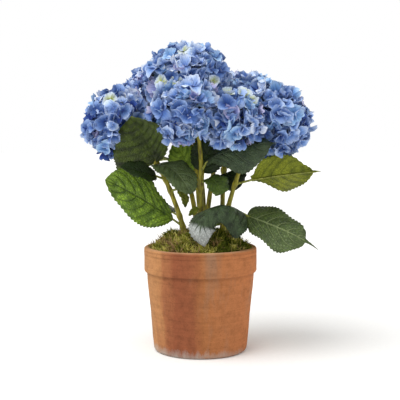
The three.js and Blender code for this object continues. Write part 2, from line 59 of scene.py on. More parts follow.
POT_HEIGHT = 153 * MM
SOIL_TOP = 141 * MM
RIM_RADIUS = 83 * MM
CROWN_HEART = Vector((0, 6, 231)) * MM  # the flower heads look away from here
STEM_CLEARANCE = 0.3 * MM
VEIN_PAIRS = 7  # side veins of a leaf, on each half
VEIN_SLANT = 0.34  # how far they run forward on their way to the margin, as a share of the blade
VEIN_BOW = 1.5  # how much more they run forward near the margin than near the midrib
TOP_CELL = 0.44  # a leaf's upper side fills this much of its UV map's width
UNDER_CELL = 0.5  # and its underside starts here
STALK_CELL = 0.96  # and its stalk here
SPRIG_CELL = 0.4  # a sprig fills this much of its shade's cell of the map, on each side of the middle
PETAL_CELL = 0.46  # and a petal or an eye this much of its dye's cell
PETAL_FACES = (4, 6)  # a petal's faces across and along

Pair = tuple[float, float]
Place = tuple[float, float, float]
Stops = tuple[Pair, ...]  # places on a ramp, and the grey at each
Swells = tuple[Place, ...]  # by what share, where along a blade and how broad each is


class LeafTint(Enum):
    """The dye lots of the leaves, and tints that paint shade, light or a highlight into one."""

    BRIGHT = "bright"
    MIDDLE = "middle"
    OLIVE = "olive"
    DARK = "dark"
    # a leaf darkened as painted shade, where it lies in shadow
    PAINTED_SHADE = "shade"
    BLUISH = "bluish"
    GREYED = "greyed"
    # a leaf lightened as painted light, where it lies in shade
    PAINTED_LIGHT = "fresh"
    YELLOW = "yellow"
    # a pale painted highlight on a curled tip, where the satin catches the light
    HIGHLIGHT_TIPPED = "frosted"


class Dye(Enum):
    """The dye lots of the florets, and a near-black blue for painted shade; the number is a lot's place in
    the petals' map.
    """

    MIDDLE = 0
    DEEP = 1
    SKY = 2
    LIGHT = 3
    PALE = 4
    LAVENDER = 5
    CREAM = 6
    # painted shade: a near-black blue for the florets deep in the heads
    PAINTED_SHADE_BLUE = 7


class MossTint(Enum):
    """The shades that a bed of dried moss turns, in patches."""

    LIME = 0
    OLIVE = 1
    DARK = 2
    BROWN = 3


def linear(colour: str) -> tuple[float, float, float, float]:
    """Turn an sRGB hex colour into linear light.

    Args:
        colour: six hex digits after a hash sign.

    Returns:
        Red, green, blue and a full alpha.
    """
    channels = [int(colour[i : i + 2], 16) / 255 for i in (1, 3, 5)]
    light = [c / 12.92 if c <= 0.04045 else ((c + 0.055) / 1.055) ** 2.4 for c in channels]
    return (*light, 1.0)


def per_metre(size_mm: float) -> float:
    """The scale of a pattern whose features are that many millimetres wide."""
    return 1 / (size_mm * MM)


def fill(tree: NodeTree, node: Node, inputs: dict) -> None:
    """Give a node's inputs their values or links.

    Args:
        tree: the tree that holds the node.
        node: the node.
        inputs: a value, or another node's output, for each input by name or number.
    """
    for name, value in inputs.items():
        if isinstance(value, NodeSocket):
            tree.links.new(value, node.inputs[name])
        else:
            node.inputs[name].default_value = value


def add_node(tree: NodeTree, kind: str, inputs: dict | None = None, **settings) -> Node:
    """Add a shader node with its settings and links.

    Args:
        tree: the tree that takes the node.
        kind: the node's type, without the ShaderNode that all of them start with.
        inputs: a value, or another node's output, for each input by name or number.
        settings: the node's own properties; "stops" are the places and colours, or greys, of a colour ramp.

    Returns:
        The new node.
    """
    node = tree.nodes.new("ShaderNode" + kind)
    for number, (place, colour) in enumerate(settings.pop("stops", ())):
        elements = node.color_ramp.elements
        stop = elements[number] if number < 2 else elements.new(place)
        stop.position = place
        stop.color = linear(colour) if isinstance(colour, str) else (colour, colour, colour, 1)
    for name, value in settings.items():
        setattr(node, name, value)
    fill(tree, node, inputs or {})
    return node


class Finish:
    """What every finish shares: a name, its gloss, and one material, made when it is first asked for."""

    name: str
    roughness: float
    specular: float

    def material(self) -> Material:
        """The finish's material, made once.

        Returns:
            The material.
        """
        made = bpy.data.materials.get(self.name)
        if made is None:
            made = bpy.data.materials.new(self.name)
            made.use_nodes = True
            tree = made.node_tree
            shader = tree.nodes["Principled BSDF"]
            fill(tree, shader, {"Roughness": self.roughness, "Specular IOR Level": self.specular})
            self.dress(tree, shader)
        return made

    def dress(self, tree: NodeTree, shader: Node) -> None:
        """Fill the material's tree; each finish has its own way."""
        raise NotImplementedError


@dataclass(frozen=True)
class Terracotta(Finish):
    """Low-fired red clay, thrown on a wheel.

    It is dead matt, banded by its firing and by painted light on its left and painted shade left of its
    middle, rubbed pale at its lip and crusted with salts at its foot.
    """

    name: str = "terracotta_thrown"
    bands: tuple[tuple[float, str], ...] = (
        (0.0, "#B28055"), (0.12, "#B07C50"), (0.2, "#98603F"), (0.28, "#874E34"), (0.42, "#8C5337"),
        (0.54, "#A0673F"), (0.76, "#AC6E45"), (0.93, "#B87448"), (1.0, "#C07A4E"),
    )  # the firing's colours across the pot, from its left to its right, with painted light at the left edge and a band of painted shade left of the middle
    lines: Stops = (
        (0.0, 1.0), (0.73, 1.0), (0.754, 0.8), (0.766, 0.82), (0.78, 1.03), (0.8, 1.0), (0.925, 1.0),
        (0.938, 0.92), (0.946, 1.04), (0.962, 1.0), (0.974, 0.9), (0.984, 1.02), (1.0, 0.92),
    )  # brightness by height: painted shadow under the collar, painted shade in two turned grooves with lighter lines beside them, and the lip
    clouds: Stops = ((0.3, 0.8), (0.5, 1.0), (0.72, 1.14))  # brightness of the blotches
    specks: Stops = ((0.3, 0.72), (0.4, 0.98), (0.7, 1.08))  # of the sand
    rings: Stops = ((0.3, 0.86), (0.5, 1.0), (0.7, 1.07))  # and of the thrower's finger rings
    speck_show: float = 0.8
    ring_show: float = 0.6
    damp: str = "#7A7263"
    damp_range: Pair = (0.55, 0.72)  # of the streaks, where the damp comes in
    damp_show: float = 0.42
    stain: str = "#5E3324"
    stain_range: Pair = (0.66, 0.74)  # of the blotches, where the stains come in
    stain_show: float = 0.6
    rubbed: str = "#CFA27A"
    rub_height: float = 2.5 * MM  # how far the rubbed lip reaches down
    rub_full: float = 0.2 * MM  # how far under its top it is rubbed through
    salt: str = "#A9A29A"
    salt_range: Pair = (0.2, 0.54)  # of the crust, where the salts come in
    salt_show: float = 0.75
    salt_height: float = 11 * MM
    salt_fall: float = 0.3  # how much of the crust is lost over that height
    salt_lean: float = 0.12  # how much more of it stands on the left
    half_width: float = RIM_RADIUS
    sway: float = 50 * MM  # how far the bands stray with the streaks
    line_stray: float = 1.2 * MM  # how far the turned lines do
    streak_mm: float = 30  # width of the streaks that run down the wall
    streak_draw: float = 0.16  # how slowly they change up the wall, against across it
    blotch_mm: float = 10
    salt_draw: float = 0.35  # as streak_draw, for the salts
    grit_mm: float = 1.7  # drawn coarser than the clay's sand, which would not show
    ring_mm: float = 2.6  # spacing of the thrower's finger rings
    ring_draw: float = 0.06  # how slowly they change round the wall, against up it
    relief: float = 0.4 * MM
    roughness: float = 0.92
    specular: float = 0.15

    def dress(self, tree: NodeTree, shader: Node) -> None:
        """Bands of the firing with painted light and shade, painted shade lines by height, damp, blotches,
        sand, stains, a rubbed lip and salts over matt clay.

        Args:
            tree: the material's tree.
            shader: its shader.
        """
        add = partial(add_node, tree)
        place = add("TexCoord").outputs["Object"]
        axes = add("SeparateXYZ", {"Vector": place})
        drawn = add("Mapping", {"Vector": place, "Scale": (1, 1, self.streak_draw)}).outputs[0]
        streak = add("TexNoise",
                     {"Vector": drawn, "Scale": per_metre(self.streak_mm), "Detail": 4.0, "Roughness": 0.6})
        blotch = add("TexNoise",
                     {"Vector": place, "Scale": per_metre(self.blotch_mm), "Detail": 6.0, "Roughness": 0.65})
        strayed = add("Math", {0: streak.outputs["Fac"], 1: self.sway, 2: axes.outputs["X"]},
                      operation="MULTIPLY_ADD")
        across = add("MapRange", {"Value": strayed.outputs[0], "From Min": self.sway / 2 - self.half_width,
                                  "From Max": self.sway / 2 + self.half_width})
        # the firing's bands carry painted light at the left and painted shade left of the middle
        body = add("ValToRGB", {"Fac": across.outputs[0]}, stops=self.bands)
        wet = add("MapRange", {"Value": streak.outputs["Fac"], "From Min": self.damp_range[0],
                               "From Max": self.damp_range[1], "To Max": self.damp_show})
        damped = add("Mix", {0: wet.outputs[0], 6: body.outputs[0], 7: linear(self.damp)}, data_type="RGBA")
        cloud = add("ValToRGB", {"Fac": blotch.outputs["Fac"]}, stops=self.clouds)
        clouded = add("Mix", {0: 1.0, 6: damped.outputs[2], 7: cloud.outputs[0]},
                      data_type="RGBA", blend_type="MULTIPLY")
        sand = add("TexNoise", {"Vector": place, "Scale": per_metre(self.grit_mm), "Detail": 3.0})
        speck = add("ValToRGB", {"Fac": sand.outputs["Fac"]}, stops=self.specks)
        sanded = add("Mix", {0: self.speck_show, 6: clouded.outputs[2], 7: speck.outputs[0]},
                     data_type="RGBA", blend_type="MULTIPLY")
        uneven = add("Math", {0: streak.outputs["Fac"], 1: self.line_stray, 2: axes.outputs["Z"]},
                     operation="MULTIPLY_ADD")
        height = add("Math", {0: uneven.outputs[0], 1: POT_HEIGHT}, operation="DIVIDE")
        # painted shadow under the collar and painted shade in the grooves, by height
        turned = add("ValToRGB", {"Fac": height.outputs[0]}, stops=self.lines)
        lined = add("Mix", {0: 1.0, 6: sanded.outputs[2], 7: turned.outputs[0]},
                    data_type="RGBA", blend_type="MULTIPLY")
        level = add("Mapping", {"Vector": place, "Scale": (self.ring_draw, self.ring_draw, 1)}).outputs[0]
        thrown = add("TexNoise", {"Vector": level, "Scale": per_metre(self.ring_mm), "Detail": 2.0})
        ring = add("ValToRGB", {"Fac": thrown.outputs["Fac"]}, stops=self.rings)
        ringed = add("Mix", {0: self.ring_show, 6: lined.outputs[2], 7: ring.outputs[0]},
                     data_type="RGBA", blend_type="MULTIPLY")
        mark = add("MapRange", {"Value": blotch.outputs["Fac"], "From Min": self.stain_range[0],
                                "From Max": self.stain_range[1], "To Max": self.stain_show})
        marked = add("Mix",
                     {0: mark.outputs[0], 6: ringed.outputs[2], 7: linear(self.stain)}, data_type="RGBA")
        lip = add("MapRange", {"Value": axes.outputs["Z"], "From Min": POT_HEIGHT - self.rub_height,
                               "From Max": POT_HEIGHT - self.rub_full})
        worn = add("Math", {0: lip.outputs[0], 1: streak.outputs["Fac"]}, operation="MULTIPLY")
        lipped = add("Mix",
                     {0: worn.outputs[0], 6: marked.outputs[2], 7: linear(self.rubbed)}, data_type="RGBA")
        brushed = add("Mapping", {"Vector": place, "Scale": (1, 1, self.salt_draw)}).outputs[0]
        bloom = add("TexNoise",
                    {"Vector": brushed, "Scale": per_metre(self.blotch_mm), "Detail": 7.0, "Roughness": 0.75})
        leaned = add("Math",
                     {0: axes.outputs["X"], 1: -self.salt_lean / self.half_width, 2: bloom.outputs["Fac"]},
                     operation="MULTIPLY_ADD")
        crust = add("Math",
                    {0: axes.outputs["Z"], 1: -self.salt_fall / self.salt_height, 2: leaned.outputs[0]},
                    operation="MULTIPLY_ADD")
        salted = add("MapRange", {"Value": crust.outputs[0], "From Min": self.salt_range[0],
                                  "From Max": self.salt_range[1], "To Max": self.salt_show})
        coloured = add("Mix",
                       {0: salted.outputs[0], 6: lipped.outputs[2], 7: linear(self.salt)}, data_type="RGBA")
        grain = add("Math", {0: sand.outputs["Fac"], 1: thrown.outputs["Fac"]}, operation="ADD")
        bump = add("Bump", {"Strength": 0.6, "Distance": self.relief, "Height": grain.outputs[0]})
        fill(tree, shader, {"Base Color": coloured.outputs[2], "Normal": bump.outputs[0]})


@dataclass(frozen=True)
class Peat(Finish):
    """Dried peat: crumbs of dark brown fibre that take no light back."""

    name: str = "peat_crumbled"
    dark: str = "#241A12"
    light: str = "#4E3A27"
    crumb_mm: float = 4
    crumb_range: Pair = (0.38, 0.68)  # of the crumbs, from dark to light
    relief: float = 2 * MM
    roughness: float = 1.0
    specular: float = 0.1

    def dress(self, tree: NodeTree, shader: Node) -> None:
        """Crumbs in two browns, with relief.

        Args:
            tree: the material's tree.
            shader: its shader.
        """
        add = partial(add_node, tree)
        place = add("TexCoord").outputs["Object"]
        crumbs = add("TexNoise", {"Vector": place, "Scale": per_metre(self.crumb_mm), "Detail": 6.0})
        body = add("ValToRGB", {"Fac": crumbs.outputs["Fac"]},
                   stops=tuple(zip(self.crumb_range, (self.dark, self.light))))
        bump = add("Bump", {"Strength": 0.9, "Distance": self.relief, "Height": crumbs.outputs["Fac"]})
        fill(tree, shader, {"Base Color": body.outputs[0], "Normal": bump.outputs[0]})


@dataclass(frozen=True)
class MossMat(Finish):
    """The felted underlayer of dried sheet moss: matt browns and olives, lost in shade."""

    name: str = "moss_felt"
    brown: str = "#3C3118"
    olive: str = "#565A20"
    patch_mm: float = 9
    patch_range: Pair = (0.36, 0.64)  # of the patches, from brown to olive
    relief: float = 1.5 * MM
    roughness: float = 1.0
    specular: float = 0.1

    def dress(self, tree: NodeTree, shader: Node) -> None:
        """Patches of brown and olive felt.

        Args:
            tree: the material's tree.
            shader: its shader.
        """
        add = partial(add_node, tree)
        place = add("TexCoord").outputs["Object"]
        patch = add("TexNoise", {"Vector": place, "Scale": per_metre(self.patch_mm), "Detail": 5.0})
        body = add("ValToRGB", {"Fac": patch.outputs["Fac"]},
                   stops=tuple(zip(self.patch_range, (self.brown, self.olive))))
        bump = add("Bump", {"Strength": 0.8, "Distance": self.relief, "Height": patch.outputs["Fac"]})
        fill(tree, shader, {"Base Color": body.outputs[0], "Normal": bump.outputs[0]})


@dataclass(frozen=True)
class MossSprig(Finish):
    """Dried moss, dyed and springy: each sprig goes from a dark foot to a bright tip, with no gloss."""

    name: str
    foot: str
    body: str
    tip: str
    roughness: float = 0.9
    specular: float = 0.15

    def dress(self, tree: NodeTree, shader: Node) -> None:
        """A shade along the sprig, read from its own map.

        Args:
            tree: the material's tree.
            shader: its shader.
        """
        add = partial(add_node, tree)
        along = add("UVMap", uv_map=BAKE_MAP).outputs["UV"]
        length = add("SeparateXYZ", {"Vector": along}).outputs["Y"]
        shade = add("ValToRGB", {"Fac": length}, stops=((0.0, self.foot), (0.5, self.body), (1.0, self.tip)))
        fill(tree, shader, {"Base Color": shade.outputs[0]})


@dataclass(frozen=True)
class StemSkin(Finish):
    """Moulded polyethylene over wire, hand-coloured: a dull sheen, with brown rubbed along the olive."""

    name: str
    green: str
    yellow: str
    brown: str
    streak_mm: float = 5
    streak_draw: float = 0.22  # how slowly the streaks change up the stem, against across it
    streak_range: Place = (0.34, 0.47, 0.66)  # of the streaks, for brown, green and yellow
    spot_mm: float = 3.2  # corky spots, drawn larger than life so that they show
    spot_range: Pair = (0.26, 0.14)  # a spot's edge and core
    spot_show: float = 0.7
    relief: float = 0.5 * MM
    roughness: float = 0.55
    specular: float = 0.4

    def dress(self, tree: NodeTree, shader: Node) -> None:
        """Long streaks of three colours under small corky spots.

        Args:
            tree: the material's tree.
            shader: its shader.
        """
        add = partial(add_node, tree)
        place = add("TexCoord").outputs["Object"]
        drawn = add("Mapping", {"Vector": place, "Scale": (1, 1, self.streak_draw)}).outputs[0]
        streak = add("TexNoise",
                     {"Vector": drawn, "Scale": per_metre(self.streak_mm), "Detail": 4.0, "Roughness": 0.6})
        body = add("ValToRGB", {"Fac": streak.outputs["Fac"]},
                   stops=tuple(zip(self.streak_range, (self.brown, self.green, self.yellow))))
        spots = add("TexVoronoi", {"Vector": drawn, "Scale": per_metre(self.spot_mm)})
        cork = add("MapRange", {"Value": spots.outputs["Distance"], "From Min": self.spot_range[0],
                                "From Max": self.spot_range[1], "To Max": self.spot_show})
        coloured = add("Mix",
                       {0: cork.outputs[0], 6: body.outputs[0], 7: linear(self.brown)}, data_type="RGBA")
        bump = add("Bump", {"Strength": 0.6, "Distance": self.relief, "Height": streak.outputs["Fac"]})
        fill(tree, shader, {"Base Color": coloured.outputs[2], "Normal": bump.outputs[0]})


@dataclass(frozen=True)
class LeafCloth(Finish):
    """Printed polyester satin, heat-pressed over veins: a soft broad sheen, pebbled between its veins."""

    name: str
    dark: str
    light: str
    vein: str
    # the colour of a painted highlight on the tip
    tip: str
    highlight_from: float = 2.0  # share of the blade where a painted highlight on its tip begins, past 1 for none
    highlight_fade: float = 0.12  # share of the blade over which it comes in, later along the veins
    roughness: float = 0.4
    cell_start: float = 0.0
    pebbles: float = 30  # raised cells along a blade, drawn larger than the cloth's own so that they show
    aspect: float = 0.34  # half a blade's width against its length
    mottle_mm: float = 14
    dye_range: Pair = (0.43, 0.66)  # of the mottle, from dark to light
    painted_vein_shade: float = 0.24  # how much lighter the dye is between the side veins: painted shade darkens it towards them
    vein_show: float = 0.5  # how strongly the printed veins show
    midrib_range: Pair = (0.06, 0.015)  # the midrib's edge and core, as shares of half the blade
    vein_range: Pair = (0.1, 0.015)  # a side vein's edge and core, as shares of their spacing
    vein_fade: Pair = (0.85, 0.3)  # how strong the side veins are inside and at the margin
    vein_fade_from: float = 0.35  # share of half the blade where they start to fade
    net_show: float = 0.45  # how dark the lines between the pebbles are
    net_range: Pair = (0.22, 0.02)  # their edge and core, as shares of a pebble
    net_depth: float = 0.6  # how deep they are pressed, against the veins
    relief: float = 1.0 * MM
    specular: float = 0.35

    def dress(self, tree: NodeTree, shader: Node) -> None:
        """Midrib, bowed side veins and pebbles by the blade's own map, over a mottled dye with painted shade
        by the side veins, and a painted highlight on the tip where a tint has one.

        Args:
            tree: the material's tree.
            shader: its shader.
        """
        add = partial(add_node, tree)
        chart = add("UVMap", uv_map=BAKE_MAP).outputs["UV"]
        axes = add("SeparateXYZ", {"Vector": chart})
        along = axes.outputs["Y"]
        across = add("MapRange", {"Value": axes.outputs["X"], "From Min": self.cell_start,
                                  "From Max": self.cell_start + TOP_CELL, "To Min": -1.0, "To Max": 1.0})
        aside = add("Math", {0: across.outputs[0]}, operation="ABSOLUTE").outputs[0]
        midrib = add("MapRange",
                     {"Value": aside, "From Min": self.midrib_range[0], "From Max": self.midrib_range[1]},
                     interpolation_type="SMOOTHSTEP")
        bow = add("Math", {0: aside, 1: VEIN_BOW}, operation="POWER")
        slant = add("Math", {0: bow.outputs[0], 1: -VEIN_SLANT, 2: along}, operation="MULTIPLY_ADD")
        phase = add("Math", {0: slant.outputs[0], 1: VEIN_PAIRS}, operation="MULTIPLY")
        between = add("Math", {0: phase.outputs[0], 1: 0.5}, operation="PINGPONG")
        sides = add("MapRange", {"Value": between.outputs[0], "From Min": self.vein_range[0],
                                 "From Max": self.vein_range[1]}, interpolation_type="SMOOTHSTEP")
        fade = add("MapRange", {"Value": aside, "From Min": self.vein_fade_from, "From Max": 1.0,
                                "To Min": self.vein_fade[0], "To Max": self.vein_fade[1]})
        fading = add("Math", {0: sides.outputs[0], 1: fade.outputs[0]}, operation="MULTIPLY")
        flat = add("CombineXYZ", {"X": across.outputs[0], "Y": along})
        blade = add("Mapping", {"Vector": flat.outputs[0], "Scale": (self.aspect, 1, 1)}).outputs[0]
        net = add("TexVoronoi", {"Vector": blade, "Scale": self.pebbles}, feature="DISTANCE_TO_EDGE")
        threads = add("MapRange", {"Value": net.outputs["Distance"], "From Min": self.net_range[0],
                                   "From Max": self.net_range[1]})
        place = add("TexCoord").outputs["Object"]
        mottle = add("TexNoise",
                     {"Vector": place, "Scale": per_metre(self.mottle_mm), "Detail": 5.0, "Roughness": 0.6})
        # painted shade: darker towards the side veins, lighter midway between them
        vein_shaded = add("Math", {0: between.outputs[0], 1: self.painted_vein_shade, 2: mottle.outputs["Fac"]},
                     operation="MULTIPLY_ADD")
        dye = add("ValToRGB", {"Fac": vein_shaded.outputs[0]},
                  stops=tuple(zip(self.dye_range, (self.dark, self.light))))
        both = add("Math", {0: midrib.outputs[0], 1: fading.outputs[0]}, operation="MAXIMUM")
        held = add("Math", {0: both.outputs[0], 1: -self.highlight_fade, 2: along}, operation="MULTIPLY_ADD")
        end = add("MapRange", {"Value": held.outputs[0], "From Min": self.highlight_from,
                               "From Max": self.highlight_from + self.highlight_fade}, interpolation_type="SMOOTHSTEP")
        # painted highlight on the tip, where a tint has one
        highlighted = add("Mix", {0: end.outputs[0], 6: dye.outputs[0], 7: linear(self.tip)}, data_type="RGBA")
        fine = add("Math", {0: threads.outputs[0], 1: self.net_show}, operation="MULTIPLY")
        netted = add("Mix",
                     {0: fine.outputs[0], 6: highlighted.outputs[2], 7: linear(self.dark)}, data_type="RGBA")
        strong = add("Math", {0: both.outputs[0], 1: self.vein_show}, operation="MULTIPLY")
        veined = add("Mix",
                     {0: strong.outputs[0], 6: netted.outputs[2], 7: linear(self.vein)}, data_type="RGBA")
        sunk = add("Math", {0: threads.outputs[0], 1: -self.net_depth, 2: 1.0}, operation="MULTIPLY_ADD")
        deep = add("Math", {0: sunk.outputs[0], 1: both.outputs[0]}, operation="SUBTRACT")
        bump = add("Bump", {"Strength": 0.8, "Distance": self.relief, "Height": deep.outputs[0]})
        fill(tree, shader, {"Base Color": veined.outputs[2], "Normal": bump.outputs[0]})


@dataclass(frozen=True)
class PetalCloth(Finish):
    """Dyed polyester petal cloth, pressed into a cup: matt, darker at its heart, partly painted shade, paler
    along its cut edge, partly painted sheen, faintly ribbed.
    """

    name: str
    heart: str
    body: str
    edge: str
    heart_start: float = 0.04  # share of a petal where the colour of its heart begins to run out
    heart_end: float = 0.48  # share where it has
    sheen_power: float = 4.0  # how close the paler edge, partly painted sheen, keeps to the petal's sides
    ribs: float = 9  # pressed ribs across a petal
    rib_run: float = 1.2  # how often they change along it
    rib_tones: Stops = ((0.3, 0.64), (0.5, 1.0), (0.72, 1.18))  # brightness of the ribs
    relief: float = 0.4 * MM
    roughness: float = 0.75
    specular: float = 0.25
    sheen: float = 0.2

    def dress(self, tree: NodeTree, shader: Node) -> None:
        """A shade from the eye to the edge, partly painted shade at the heart and painted sheen at the edge,
        and pressed ribs, both by the petal's own map.

        Args:
            tree: the material's tree.
            shader: its shader.
        """
        add = partial(add_node, tree)
        chart = add("UVMap", uv_map=BAKE_MAP).outputs["UV"]
        axes = add("SeparateXYZ", {"Vector": chart})
        along = axes.outputs["Y"]
        cell = add("Math", {0: axes.outputs["X"], 1: len(Dye)}, operation="MULTIPLY")
        across = add("Math", {0: cell.outputs[0]}, operation="FRACT").outputs[0]
        # darker heart, partly painted shade, to a paler edge, partly painted sheen
        shade = add("ValToRGB", {"Fac": along},
                    stops=((self.heart_start, self.heart), (self.heart_end, self.body), (1.0, self.edge)))
        aside = add("MapRange", {"Value": across, "To Min": -1.0, "To Max": 1.0})
        # the paler sides, partly painted sheen
        outer = add("Math", {0: aside.outputs[0], 1: self.sheen_power}, operation="POWER")
        rim = add("Math", {0: outer.outputs[0], 1: along}, operation="MULTIPLY")
        sheen_edged = add("Mix", {0: rim.outputs[0], 6: shade.outputs[0], 7: linear(self.edge)}, data_type="RGBA")
        sheet = add("CombineXYZ", {"X": across, "Y": along})
        drawn = add("Mapping", {"Vector": sheet.outputs[0], "Scale": (self.ribs, self.rib_run, 1)})
        ribs = add("TexNoise", {"Vector": drawn.outputs[0], "Scale": 1.0, "Detail": 2.0})
        tone = add("ValToRGB", {"Fac": ribs.outputs["Fac"]}, stops=self.rib_tones)
        ribbed = add("Mix", {0: 1.0, 6: sheen_edged.outputs[2], 7: tone.outputs[0]},
                     data_type="RGBA", blend_type="MULTIPLY")
        bump = add("Bump", {"Strength": 0.35, "Distance": self.relief, "Height": ribs.outputs["Fac"]})
        fill(tree, shader, {"Base Color": ribbed.outputs[2], "Normal": bump.outputs[0],
                            "Sheen Weight": self.sheen})


@dataclass(frozen=True)
class StudioPaper(Finish):
    """Matt white backing paper: even and bright, with no sheen of its own."""

    name: str = "backing_paper_matt"
    colour: str = "#F4F3F1"
    fibre_colour: str = "#FAFAF8"
    fibre_mm: float = 6
    roughness: float = 0.95
    specular: float = 0.1

    def dress(self, tree: NodeTree, shader: Node) -> None:
        """White with the faintest fibre.

        Args:
            tree: the material's tree.
            shader: its shader.
        """
        add = partial(add_node, tree)
        place = add("TexCoord").outputs["Object"]
        fibre = add("TexNoise", {"Vector": place, "Scale": per_metre(self.fibre_mm)})
        white = add("Mix", {0: fibre.outputs["Fac"], 6: linear(self.colour), 7: linear(self.fibre_colour)},
                    data_type="RGBA")
        fill(tree, shader, {"Base Color": white.outputs[2]})


OLIVE_STEM = StemSkin("stem_polyethylene_olive", "#84801E", "#B2A636", "#584C14")
PALE_STALK = StemSkin("stalk_polyethylene_pale", "#868C36", "#AAAA56", "#66622C", streak_mm=3)
# darker than the leaf stalks: painted shade for the gaps among the florets
FLORET_STALK_IN_SHADE = StemSkin("floret_stalk_painted_shade", "#4C5A2C", "#6A763C", "#3A4424", streak_mm=3)
LEAF_TOPS = {
    LeafTint.BRIGHT: LeafCloth("leaf_satin_bright", "#4A6418", "#88A830", "#2E420C", "#88A830",
                               vein_show=0.75, pebbles=26, net_show=0.75, relief=1.2 * MM),
    LeafTint.MIDDLE: LeafCloth("leaf_satin_middle", "#354A17", "#587222", "#6C8438", "#587222",
                               vein_show=0.4),
    LeafTint.OLIVE: LeafCloth("leaf_satin_olive", "#222E06", "#4E6018", "#222E08", "#4E6018"),
    LeafTint.DARK: LeafCloth("leaf_satin_dark", "#2C3A24", "#465838", "#5E6E4E", "#465838", vein_show=0.4,
                             net_show=0.65),
    # painted shade: near-black greens for leaves that lie in shadow
    LeafTint.PAINTED_SHADE: LeafCloth("leaf_satin_painted_shade", "#142404", "#243A08", "#182806", "#243A08"),
    LeafTint.BLUISH: LeafCloth("leaf_satin_bluish", "#3B4A25", "#5F723C", "#98A670", "#5F723C", vein_show=0.6,
                               pebbles=26, net_show=0.75, relief=1.2 * MM),
    LeafTint.GREYED: LeafCloth("leaf_satin_greyed", "#404E27", "#647648", "#76845A", "#647648", vein_show=0.4,
                               net_show=0.65),
    # painted light: lighter greens for a leaf that lies in shade
    LeafTint.PAINTED_LIGHT: LeafCloth("leaf_satin_painted_light", "#64801F", "#9CBC3E", "#4E6416", "#9CBC3E", vein_show=0.4),
    LeafTint.YELLOW: LeafCloth("leaf_satin_yellow", "#66721A", "#98A236", "#505C14", "#98A236"),
    # painted highlight: its curled tip pales to near white, where the satin catches the light
    LeafTint.HIGHLIGHT_TIPPED: LeafCloth("leaf_satin_highlight_tipped", "#17240C", "#425634", "#2A3A20", "#BCC1BE",
                                highlight_from=0.72, highlight_fade=0.07, vein_show=0.15),
}
LEAF_BACK = LeafCloth("leaf_satin_back", "#5C6612", "#8C9424", "#444E0C", "#8C9424", roughness=0.7,
                      cell_start=UNDER_CELL)
# each lot runs from a dark heart to a pale edge: partly its dye, partly painted shade at the heart and
# painted sheen at the edge
PETALS = {
    Dye.MIDDLE: PetalCloth("petal_cloth_blue", "#4060A6", "#6C8FCA", "#BCCEEE"),
    Dye.DEEP: PetalCloth("petal_cloth_deep_blue", "#304E98", "#4A6DAE", "#94AEDC"),
    Dye.SKY: PetalCloth("petal_cloth_sky_blue", "#4F7ABC", "#76A2D6", "#B6D2F0"),
    Dye.LIGHT: PetalCloth("petal_cloth_light_blue", "#6688CC", "#9CB8E6", "#DAE6F8"),
    Dye.PALE: PetalCloth("petal_cloth_pale_blue", "#90A8DA", "#C0D0EE", "#ECF2FA"),
    Dye.LAVENDER: PetalCloth("petal_cloth_lavender", "#6E76BA", "#949CCE", "#CCC8E4"),
    Dye.CREAM: PetalCloth("petal_cloth_cream", "#AAB23C", "#C6D0C0", "#C2D2EE", heart_end=0.5),
    # painted shade: the darkest blue, for florets deep in the heads
    Dye.PAINTED_SHADE_BLUE: PetalCloth("petal_cloth_painted_shade_blue", "#1C2F80", "#2E4A9E", "#5272BC"),
}
FLORET_EYE = PetalCloth("floret_eye_cloth", "#8E98B4", "#8AA0CC", "#C2CBDC")
SPRIGS = {
    MossTint.LIME: MossSprig("moss_dried_lime", "#5C601C", "#B6B248", "#E6DA88"),
    MossTint.OLIVE: MossSprig("moss_dried_olive", "#3A400E", "#828628", "#B2B24C"),
    MossTint.DARK: MossSprig("moss_dried_dark", "#20260A", "#4A5416", "#6E7A24"),
    MossTint.BROWN: MossSprig("moss_dried_brown", "#3E2E16", "#8C7046", "#C2A676"),
}


def new_object(name: str, mesh: Mesh, finishes: list[Finish]) -> Object:
    """Put a mesh in the scene as a piece with its finishes.

    Args:
        name: the piece's name.
        mesh: its mesh, already in place.
        finishes: one for each material number in the mesh.

    Returns:
        The new object.
    """
    obj = bpy.data.objects.new(name, mesh)
    bpy.context.scene.collection.objects.link(obj)
    for finish in finishes:
        mesh.materials.append(finish.material())
    return obj


def mesh_from(name: str, shape: BMesh) -> Mesh:
    """Turn a finished bmesh into a smooth-shaded mesh and free it.

    Args:
        name: the mesh's name.
        shape: the bmesh, which is used up.

    Returns:
        The mesh.
    """
    mesh = bpy.data.meshes.new(name)
    shape.to_mesh(mesh)
    shape.free()
    mesh.shade_smooth()
    return mesh


def add_piece(obj: Object, node: str) -> None:
    """Hang a piece on the plant's one body and hide the solid that it stands for.

    Args:
        obj: the piece.
        node: the solid that it replaces.
    """
    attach(obj, BODY)
    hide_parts(node)


def unit(vectors: np.ndarray) -> np.ndarray:
    """Vectors scaled to length 1, along the last axis."""
    return vectors / np.linalg.norm(vectors, axis=-1, keepdims=True)


def basis(facing: np.ndarray, spin: float) -> np.ndarray:
    """Axes for a thing that faces one way and is spun about it.

    Args:
        facing: the unit vector that becomes its Z axis.
        spin: the turn about that axis, in radians.

    Returns:
        The X, Y and Z axes as rows.
    """
    helper = np.array((0.0, 0.0, 1.0)) if abs(facing[2]) < STEEP else np.array((1.0, 0.0, 0.0))
    first = unit(np.cross(helper, facing))
    second = np.cross(facing, first)
    x_axis = first * math.cos(spin) + second * math.sin(spin)
    return np.array((x_axis, np.cross(facing, x_axis), facing))


